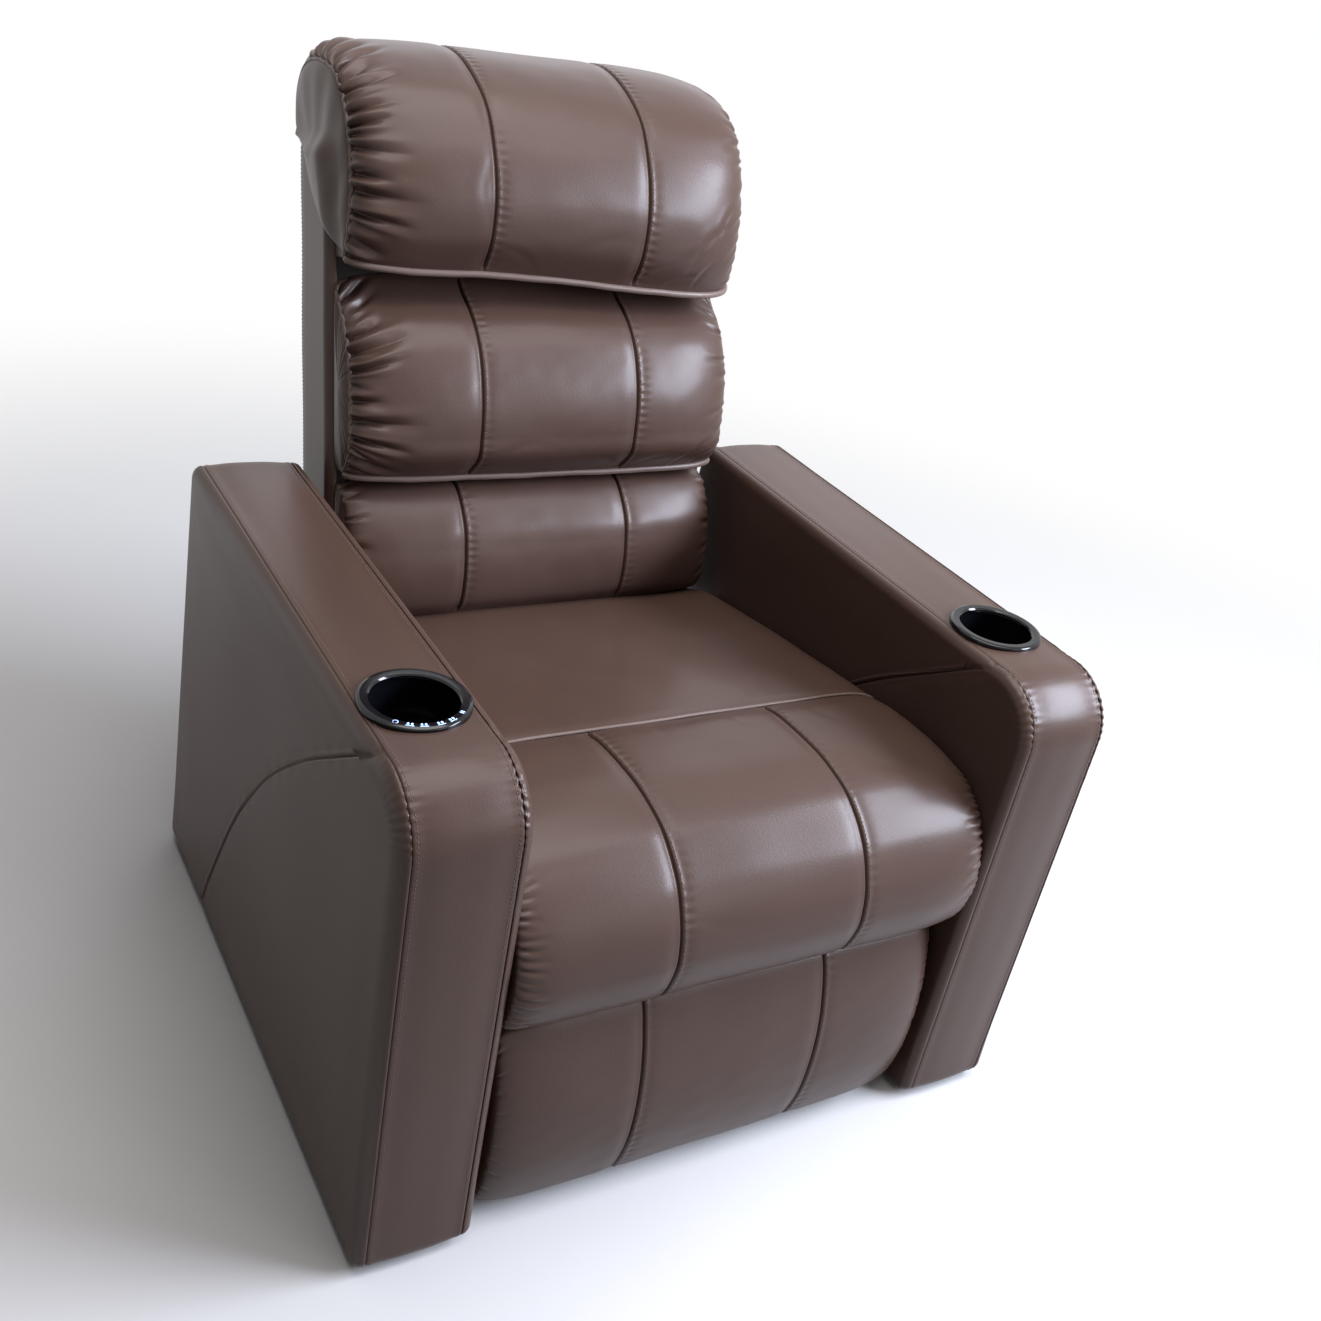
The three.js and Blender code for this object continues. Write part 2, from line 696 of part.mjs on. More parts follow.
function seatTray() {
  const tray = new THREE.Group();
  tray.position.set(0, seamY, seamZ);
  tray.rotation.x = -seatRake * degree;

  const front = smoothLine(rollShares, { y: -fitGap / 2, z: 0 }, rollReach, rollDrop, 17);
  const roll = cushion({
    halfWidth: seatWidth / 2,
    section: [
      ...front,
      new THREE.Vector2(-rollBack, -rollDrop),
      new THREE.Vector2(-rollBack, -cushionThickness),
      new THREE.Vector2(-fitGap / 2, -cushionThickness),
    ],
    shown: front.length,
    seatedY: -rollBack,
    middleZ: -cushionThickness,
    draw: { front: 0.24, rear: 0, top: 0.34, bottom: 0.06 },
    crownPower: 10,
    seamX: rollSeamX,
    widthShares: pillowWidthShares,
  });
  tray.add(piece('seat_roll', roll, leatherette()));

  const deckTop = smoothLine(deckShares, { y: fitGap / 2, z: 0 }, deckLength, cushionThickness, 14);
  const deck = cushion({
    halfWidth: seatWidth / 2,
    section: [
      ...deckTop,
      new THREE.Vector2(deckLength + fitGap / 2, -cushionThickness),
      new THREE.Vector2(deckLength / 2, -cushionThickness),
      new THREE.Vector2(fitGap / 2, -cushionThickness),
    ],
    shown: deckTop.length,
    seatedY: deckLength / 2,
    middleZ: -cushionThickness,
    draw: { front: 0, rear: 0, top: 0.34, bottom: 0 },
    crownPower: 10,
    seamX: 0,
    widthShares: deckWidthShares,
  });
  tray.add(piece('seat_deck', deck, leatherette(0x5f4b43)));

  const railHalf = plateInnerX - fitGap;
  const railTop = -springTop - 2 * springWireRadius - fitGap;
  const boardFront = -rollBack + fitGap;
  const frontBoard = block(
    -railHalf,
    railHalf,
    boardFront,
    boardFront + boardThickness,
    railTop - frontBoardHeight,
    railTop,
  );
  tray.add(piece('seat_front_board', frontBoard, plywood()));
  const rearRail = block(
    -railHalf,
    railHalf,
    deckLength - boardThickness,
    deckLength,
    railTop - rearRailHeight,
    railTop,
  );
  tray.add(piece('seat_rear_rail', rearRail, plywood()));

  const springCentre = railTop + fitGap + springWireRadius;
  const springFrom = boardFront + boardThickness / 2;
  const springTo = deckLength - boardThickness / 2;
  [-1, 0, 1].forEach((place, i) => {
    const spring = sinuousSpring(place * springSpacing, springFrom, springTo, springCentre);
    tray.add(piece(`seat_spring_${i + 1}`, spring, zincSteel()));
  });
  return tray;
}

const backPivot = { y: reclineY, z: reclineZ };

/** The steel side plate: from the footrest pivots to the recline pivot, with a shoe in the base rail. */
function sidePlate(side, sign) {
  const railFloor = baseTubeHeight + baseTubeRadius + fitGap + railWall;
  const shoeBottom = railFloor + fitGap;
  const shoeTop = shoeBottom + shoeHeight;
  const topFront = trayPlace(-rollBack + boardThickness, -springTop - 2 * springWireRadius - overrun);
  const topRear = trayPlace(deckLength - overrun, -springTop - 2 * springWireRadius - overrun);
  const hub = driveTubeRadius + linkHalfWidth;
  const outline = new THREE.Shape();
  outline.moveTo(guideTop.y - linkHalfWidth, drivePivotZ - hub);
  outline.lineTo(drivePivotY + hub, drivePivotZ - hub - linkHalfWidth);
  outline.lineTo(shoeFrontY, shoeTop - steelThickness);
  outline.lineTo(shoeRearY, shoeTop - steelThickness);
  outline.lineTo(reclineY + hingeLobeRadius * Math.SQRT1_2, reclineZ - hingeLobeRadius * Math.SQRT1_2);
  outline.absarc(reclineY, reclineZ, hingeLobeRadius, -Math.PI / 4, Math.PI / 2, false);
  outline.lineTo(topRear.y, topRear.z);
  outline.lineTo(topFront.y, topFront.z);
  outline.lineTo(guideTop.y - linkHalfWidth, guideTop.z + 2 * linkHalfWidth);
  outline.closePath();
  for (const { at, radius } of [
    { at: drivePivot, radius: driveTubeRadius + fitGap },
    { at: guideTop, radius: pinRadius + pinClearance },
    { at: backPivot, radius: reclinePinRadius + pinClearance },
  ]) {
    const hole = new THREE.Path();
    hole.absarc(at.y, at.z, radius, 0, 2 * Math.PI, true);
    outline.holes.push(hole);
  }
  const [near, far] = layer(0, sign);
  const middleX = (near + far) / 2;
  const shoe = block(
    middleX - shoeWidth / 2,
    middleX + shoeWidth / 2,
    shoeFrontY,
    shoeRearY,
    shoeBottom,
    shoeTop,
  );
  return piece(`side_plate_${side}`, joined(slab(outline, near, far, 12), shoe), blackSteel());
}

// Drives

/** A yoke plate with an upright slot, on the end of a rod that runs along Y. */
function yokeRod(x, z, slotY, pin, slotPlay, towardsMotor) {
  const halfSlot = pin + yokeSlotPlay;
  const slotReach = pin + slotPlay;
  const plate = new THREE.Shape();
  const tall = slotReach + yokeWall;
  plate.moveTo(slotY - yokeHalfLength, z - tall);
  plate.lineTo(slotY + yokeHalfLength, z - tall);
  plate.lineTo(slotY + yokeHalfLength, z + tall);
  plate.lineTo(slotY - yokeHalfLength, z + tall);
  plate.closePath();
  const slot = new THREE.Path();
  slot.moveTo(slotY - halfSlot, z - slotReach);
  slot.lineTo(slotY - halfSlot, z + slotReach);
  slot.lineTo(slotY + halfSlot, z + slotReach);
  slot.lineTo(slotY + halfSlot, z - slotReach);
  slot.closePath();
  plate.holes.push(slot);
  const rodStart = slotY + towardsMotor * (yokeHalfLength - yokeWall / 2);
  const rodEnd = slotY + towardsMotor * (yokeHalfLength + yokeToGuide + rodInGuide);
  return joined(
    slab(plate, x - yokeThickness / 2, x + yokeThickness / 2),
    lengthBar(rodRadius, rodStart, rodEnd, x, z, 16),
  );
}

/** Motor, gearbox, guide tube with an open bore, and a clevis round its mounting tube. */
function driveUnit(x, z, mouthY, towardsMotor, clevisY) {
  const outwards = Math.sign(x);
  const boxNear = mouthY + towardsMotor * guideTubeLength;
  const boxFar = boxNear + towardsMotor * gearboxLength;
  const boxMiddle = (boxNear + boxFar) / 2;
  const boxEdgeX = x + outwards * gearboxWidth / 2;
  const [low, high] = [z - gearboxHeight / 2, z + gearboxHeight / 2];
  const body = joined(
    lengthBar(guideTubeRadius, mouthY, boxNear + towardsMotor * overrun, x, z),
    block(x - gearboxWidth / 2, x + gearboxWidth / 2, boxNear, boxFar, low, high),
    crossBar(motorRadius, boxEdgeX - outwards * overrun, boxEdgeX + outwards * motorLength, {
      y: boxMiddle,
      z,
    }, 24),
    block(
      x - clevisThickness / 2,
      x + clevisThickness / 2,
      boxFar - towardsMotor * overrun,
      clevisY,
      z - clevisThickness / 2,
      z + clevisThickness / 2,
    ),
    crossBar(clevisRadius, x - clevisThickness / 2, x + clevisThickness / 2, { y: clevisY, z }, 24),
  );
  const boreEnd = mouthY + towardsMotor * (guideTubeLength - guideTubeEnd);
  return cut(
    body,
    lengthBar(rodRadius + fitGap, mouthY - towardsMotor * overrun, boreEnd, x, z, 16),
    crossBar(motorTubeRadius + fitGap, x - clevisThickness, x + clevisThickness, { y: clevisY, z }, 20),
  );
}

const footDriveX = -driveOffsetX;
const backDriveX = driveOffsetX;
const footMouthY = leverTip.y + yokeHalfLength + yokeToGuide;
const footClevisY = footMouthY + guideTubeLength + gearboxLength + clevisReach;

// The recline lever points straight down at the middle of its travel.
const leverBack = reclineTravel / 2;
const reclineTip = {
  y: reclineY + reclineLeverLength * Math.sin(leverBack * degree),
  z: reclineZ - reclineLeverLength * Math.cos(leverBack * degree),
};
const backDriveZ = reclineZ - reclineLeverLength * (1 + Math.cos(leverBack * degree)) / 2;
const backMouthY = reclineTip.y - 2 * reclineLeverLength * Math.sin(leverBack * degree)
  - yokeHalfLength - yokeToGuide / 2;
const backClevisY = backMouthY - guideTubeLength - gearboxLength - clevisReach;

function drives() {
  const group = new THREE.Group();
  const footUnit = driveUnit(footDriveX, footDriveZ, footMouthY, 1, footClevisY);
  group.add(piece('footrest_motor', footUnit, mattBlack()));
  const backUnit = driveUnit(backDriveX, backDriveZ, backMouthY, -1, backClevisY);
  group.add(piece('recline_motor', backUnit, mattBlack()));
  const tubeHalf = plateInnerX - fitGap;
  const rearAt = { y: footClevisY, z: footDriveZ };
  const frontAt = { y: backClevisY, z: backDriveZ };
  const rear = crossBar(motorTubeRadius, -tubeHalf, tubeHalf, rearAt);
  group.add(piece('motor_tube_rear', rear, blackSteel()));
  const front = crossBar(motorTubeRadius, -tubeHalf, tubeHalf, frontAt);
  group.add(piece('motor_tube_front', front, blackSteel()));

  const footRod = yokeRod(footDriveX, footDriveZ, leverTip.y, leverPinRadius, footLinePlay, 1);
  group.add(piece('footrest_rod', footRod, zincSteel()));
  const backRod = yokeRod(backDriveX, backDriveZ, reclineTip.y, reclineTubeRadius, backLinePlay, -1);
  group.add(piece('recline_rod', backRod, zincSteel()));
  return group;
}

// Back

const headrestShares = [
  [-0.645, 0], [-0.9, 0.146], [-1, 0.314], [-0.966, 0.455], [-0.857, 0.582], [-0.68, 0.715],
  [-0.393, 0.825], [0.046, 0.93], [0.507, 0.99], [0.948, 1], [1.325, 0.943], [1.538, 0.823],
  [1.571, 0.669], [1.479, 0.563],
];
const middlePillowShares = [
  [-0.52, 0], [-0.89, 0.12], [-0.975, 0.245], [-1, 0.4], [-0.953, 0.555], [-0.838, 0.7],
  [-0.663, 0.813], [-0.441, 0.9], [-0.19, 0.966], [0, 1],
];
const lowerPillowShares = [
  [-0.666, 0], [-0.855, 0.08], [-0.982, 0.28], [-1, 0.486], [-0.915, 0.694], [-0.55, 0.92], [-0.12, 1],
];

/** A back pillow on the front plane of the back frame, in the back's own frame. */
function backPillow({ name, shares, bottom, height, depth, seamX, middle, draw, inside }) {
  const plane = -backFrontFace - fitGap;
  const front = smoothLine(shares, { y: plane, z: bottom }, depth, height, 16);
  const geometry = cushion({
    halfWidth: pillowWidth / 2,
    section: [...front, ...inside],
    shown: front.length,
    seatedY: plane,
    middleZ: middle,
    draw,
    crownPower: 5,
    seamX,
    widthShares: pillowWidthShares,
  });
  return piece(name, geometry, leatherette());
}

function back() {
  const group = new THREE.Group();
  group.position.set(0, reclineY, reclineZ);
  group.rotation.x = -backLean * degree;
  const plane = -backFrontFace - fitGap;
  const rearFace = backDepth - backFrontFace;
  const frameFront = 2 * springWireRadius + fitGap - backFrontFace;
  const frameRear = rearFace - backCoverThickness - fitGap;
  const coverInner = backWidth / 2 - backCoverThickness;
  const strapOuter = coverInner - fitGap;
  const frameHalf = strapOuter - steelThickness - fitGap;
  const railMiddle = (backTop + backBottom) / 2;
  const windowHalf = frameHalf - postWidth;
  const windowHigh = backTop - backRailHeight;
  const windowLow = backBottom + backRailHeight;
  const frontCut = frameFront - overrun;
  const rearCut = frameRear + overrun;
  const frame = cut(
    block(-frameHalf, frameHalf, frameFront, frameRear, backBottom, backTop),
    block(-windowHalf, windowHalf, frontCut, rearCut, windowLow, railMiddle - backRailHeight / 2),
    block(-windowHalf, windowHalf, frontCut, rearCut, railMiddle + backRailHeight / 2, windowHigh),
  );
  group.add(piece('back_frame', frame, plywood()));
  const springHeight = backFrontFace - springWireRadius;
  const springEnd = backRailHeight / 2;
  [-1, 0, 1].forEach((place, i) => {
    const spring = sinuousSpring(
      place * springSpacing,
      backBottom + springEnd,
      backTop - springEnd,
      springHeight,
    );
    group.add(piece(`back_spring_${i + 1}`, spring.rotateX(Math.PI / 2), zincSteel()));
  });

  // The cover is drawn from above, as a U round the posts with rounded rear corners.
  const coverOuter = backWidth / 2;
  const cover = new THREE.Shape();
  cover.moveTo(coverInner, -backFrontFace);
  cover.lineTo(coverOuter, -backFrontFace);
  cover.lineTo(coverOuter, rearFace - backCornerRadius);
  cover.absarc(coverOuter - backCornerRadius, rearFace - backCornerRadius, backCornerRadius, 0, Math.PI / 2, false);
  cover.lineTo(backCornerRadius - coverOuter, rearFace);
  cover.absarc(
    backCornerRadius - coverOuter,
    rearFace - backCornerRadius,
    backCornerRadius,
    Math.PI / 2,
    Math.PI,
    false,
  );
  cover.lineTo(-coverOuter, -backFrontFace);
  cover.lineTo(-coverInner, -backFrontFace);
  cover.lineTo(-coverInner, rearFace - backCoverThickness);
  cover.lineTo(coverInner, rearFace - backCoverThickness);
  cover.closePath();
  const coverSolid = new THREE.ExtrudeGeometry(cover, {
    depth: backTop - backBottom,
    bevelEnabled: false,
    curveSegments: 6,
  });
  group.add(piece('back_cover', coverSolid.translate(0, 0, backBottom), leatherette(0x55423b)));

  group.add(backPillow({
    name: 'lower_pillow',
    shares: lowerPillowShares,
    bottom: lowerPillowBottom,
    height: lowerPillowHeight,
    depth: lowerPillowDepth,
    seamX: lowerPillowSeamX,
    middle: lowerPillowBottom + lowerPillowHeight / 2,
    draw: { front: 0.42, rear: 0, top: 0.12, bottom: 0.05 },
    inside: [
      new THREE.Vector2(plane, lowerPillowBottom + lowerPillowHeight),
      new THREE.Vector2(plane, lowerPillowBottom + lowerPillowHeight / 2),
      new THREE.Vector2(plane, lowerPillowBottom),
    ],
  }));
  group.add(backPillow({
    name: 'middle_pillow',
    shares: middlePillowShares,
    bottom: middlePillowBottom,
    height: middlePillowHeight,
    depth: middlePillowDepth,
    seamX: middlePillowSeamX,
    middle: middlePillowBottom + middlePillowHeight / 2,
    draw: { front: 0.42, rear: 0, top: 0.14, bottom: 0.03 },
    inside: [
      new THREE.Vector2(plane, middlePillowBottom + middlePillowHeight / 2),
      new THREE.Vector2(plane, middlePillowBottom),
    ],
  }));
  const overTop = backTop + headrestOverTop;
  group.add(backPillow({
    name: 'headrest_pillow',
    shares: headrestShares,
    bottom: headrestBottom,
    height: headrestHeight,
    depth: headrestDepth,
    seamX: headrestSeamX,
    middle: overTop,
    draw: { front: 0.47, rear: 0.13, top: 0.33, bottom: 0.04 },
    inside: [
      new THREE.Vector2(rearFace, overTop),
      new THREE.Vector2(0, overTop),
      new THREE.Vector2(plane, overTop),
      new THREE.Vector2(plane, (headrestBottom + overTop) / 2),
      new THREE.Vector2(plane, headrestBottom),
    ],
  }));

  // Hinge straps: along the posts, round the recline pin, and down to the lever tube.
  const origin = { y: 0, z: 0 };
  const leverTurn = backLean + leverBack;
  const tip = {
    y: reclineLeverLength * Math.sin(leverTurn * degree),
    z: -reclineLeverLength * Math.cos(leverTurn * degree),
  };
  for (const [side, sign] of sides) {
    const strapInner = strapOuter - steelThickness;
    const upper = slab(
      stadium(origin, { y: 0, z: hingeStrapTop }, hingeStrapHalfWidth),
      sign * strapInner,
      sign * strapOuter,
    );
    const lower = slab(
      stadium(origin, tip, reclineTubeRadius + railWall),
      sign * strapInner,
      sign * strapOuter,
    );
    const [, far] = layer(0, sign);
    const pin = crossBar(reclinePinRadius, sign * (strapInner + steelThickness / 2), far, origin, 20);
    group.add(piece(`back_hinge_${side}`, joined(upper, lower, pin), blackSteel()));
  }
  const leverTube = crossBar(reclineTubeRadius, -frameHalf, frameHalf, tip);
  group.add(piece('recline_tube', leverTube, blackSteel()));
  return group;
}

// The chair
const chair = new THREE.Group();
for (const [side, sign] of sides) {
  chair.add(arm(side, sign));
  chair.add(sidePlate(side, sign));
}
chair.add(cupHolders(), base(), footrestLinks(), footrest(), seatTray(), drives(), back());
chair.updateMatrixWorld(true);
const footprint = new THREE.Box3().setFromObject(chair, true);
chair.position.y = -(footprint.min.y + footprint.max.y) / 2;

export default chair;
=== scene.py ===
from math import cos, pi, radians, sin

import bmesh
import bpy
import numpy as np
from bpy.props import FloatProperty, FloatVectorProperty, PointerProperty
from mathutils import Matrix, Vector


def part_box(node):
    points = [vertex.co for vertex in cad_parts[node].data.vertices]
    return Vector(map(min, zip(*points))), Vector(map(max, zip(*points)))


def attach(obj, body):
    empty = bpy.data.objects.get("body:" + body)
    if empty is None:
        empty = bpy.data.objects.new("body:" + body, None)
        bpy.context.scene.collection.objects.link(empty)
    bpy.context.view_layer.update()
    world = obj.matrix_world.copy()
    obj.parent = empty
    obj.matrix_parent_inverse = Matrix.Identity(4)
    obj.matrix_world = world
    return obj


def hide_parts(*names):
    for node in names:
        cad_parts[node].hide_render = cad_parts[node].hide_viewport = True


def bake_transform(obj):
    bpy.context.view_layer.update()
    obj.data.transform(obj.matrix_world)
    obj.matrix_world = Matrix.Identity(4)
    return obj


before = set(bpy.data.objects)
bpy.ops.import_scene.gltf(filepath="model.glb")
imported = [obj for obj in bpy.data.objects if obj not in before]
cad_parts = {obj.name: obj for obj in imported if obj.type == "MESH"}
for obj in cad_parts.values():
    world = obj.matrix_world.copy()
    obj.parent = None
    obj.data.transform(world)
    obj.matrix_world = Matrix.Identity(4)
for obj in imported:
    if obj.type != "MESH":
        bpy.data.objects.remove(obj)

bl_info = {
    "name": "Cinema recliner seat",
    "version": (1, 0, 0),
    "blender": (4, 5, 0),
    "location": "View3D > Sidebar > Recliner",
    "description": "Upholstery, trim and finishes of a powered cinema recliner",
    "category": "Add Mesh",
}

# Sizes in the helper functions are in millimetres, and Y is counted from the arm fronts.
# A mesh gets metres in the row frame at the moment that it is made.

def reach_of(node):
    """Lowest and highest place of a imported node, in millimetres."""
    return [np.array(corner) * 1000 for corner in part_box(node)]


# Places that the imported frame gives
(_, FRONT_Y, ARM_BASE), (_, arm_rear_y, ARM_TOP) = reach_of("arm_outer_cover_left")
ARM_REAR = arm_rear_y - FRONT_Y
ARM_OUTSIDE = reach_of("arm_outer_cover_right")[1][0]
ARM_INSIDE = reach_of("arm_inner_cover_right")[0][0]
BAND_INSIDE, BAND_OUTSIDE = (corner[0] for corner in reach_of("arm_top_cover_right"))
SEAT_HALF, PILLOW_HALF, BACK_HALF, FOOTREST_HALF = (
    reach_of(node)[1][0] for node in ("seat_roll", "headrest_pillow", "back_cover", "footrest_pad")
)
CUP_X = (ARM_OUTSIDE + ARM_INSIDE) / 2
cup_low, cup_high = reach_of("cup_rim_left")
CUP_Y = (cup_low[1] + cup_high[1]) / 2 - FRONT_Y
CUP_SEAT = cup_low[2]
CUP_RIM_RADIUS = (cup_high[0] - cup_low[0]) / 2
CUP_RIM_HEIGHT = cup_high[2] - cup_low[2]
CUP_HOLE_RADIUS = 51

# The raked seat tray and the leaning back
SEAT_RAKE = radians(7.7)
SEAT_SEAM = (243.0, 480.0)
BACK_LEAN = radians(12)
BACK_AXIS = (690.06, 340.0)
BACK_FACE = -50.6
BACK_REAR = 67.4
BACK_FOOT = 40.0
BACK_HEAD = 640.0
BACK_SKIN = BACK_FACE - 0.3

# How far beside a cushion's seam its stitches lie
STITCH_ASIDE = 4.6

# The photograph's camera: its place, its rotation vector, and its focal length and width in pixels
CAMERA_EYE = (-846.6, -920.55, 1326.28)
CAMERA_TURN = (2.06089586, -0.426254918, 0.492424495)
FOCAL_PIXELS = 1450.54
PICTURE_PIXELS = 1321
SENSOR_WIDTH = 36.0

# Floor disc, and where it fades to white, in metres
FLOOR_RADIUS = 40
FLOOR_FADE = (0.8, 2.7)

# Lamps: name, place and target in metres, width, height, watts, colour, turn in degrees
LAMPS = (
    ("key_window", (2.12, -1.45, 2.05), (0.0, 0.05, 0.7), 2.1, 0.72, 184, "#e4ecff", 44),
    ("front_window", (1.1, -2.75, 1.15), (0.05, 0.15, 0.65), 0.8, 1.1, 8, "#f4f0f0", 0),
    ("rear_window", (1.4, 2.6, 2.3), (0.0, 0.2, 0.8), 2.4, 1.7, 12, "#e6eeff", 0),
    ("ceiling", (0.1, -0.3, 3.0), (0.0, 0.0, 0.4), 2.0, 2.0, 68, "#f8f4f6", 0),
)

# Colour and strength of the light that comes from all round
ROOM_LIGHT = ("#e8ebf0", 0.1)

# Arm in the side view
ARM_TOP_DEPTH = 730.0
ARM_CORNER = 70.0
ARM_SIDE_SEAM = [
    (86, 612), (88, 599), (100, 591), (160, 550), (240, 494), (299, 447), (362, 391), (412, 337),
    (466, 271), (511, 205), (563, 119), (605, 46), (624, 8), (632, -10),
]

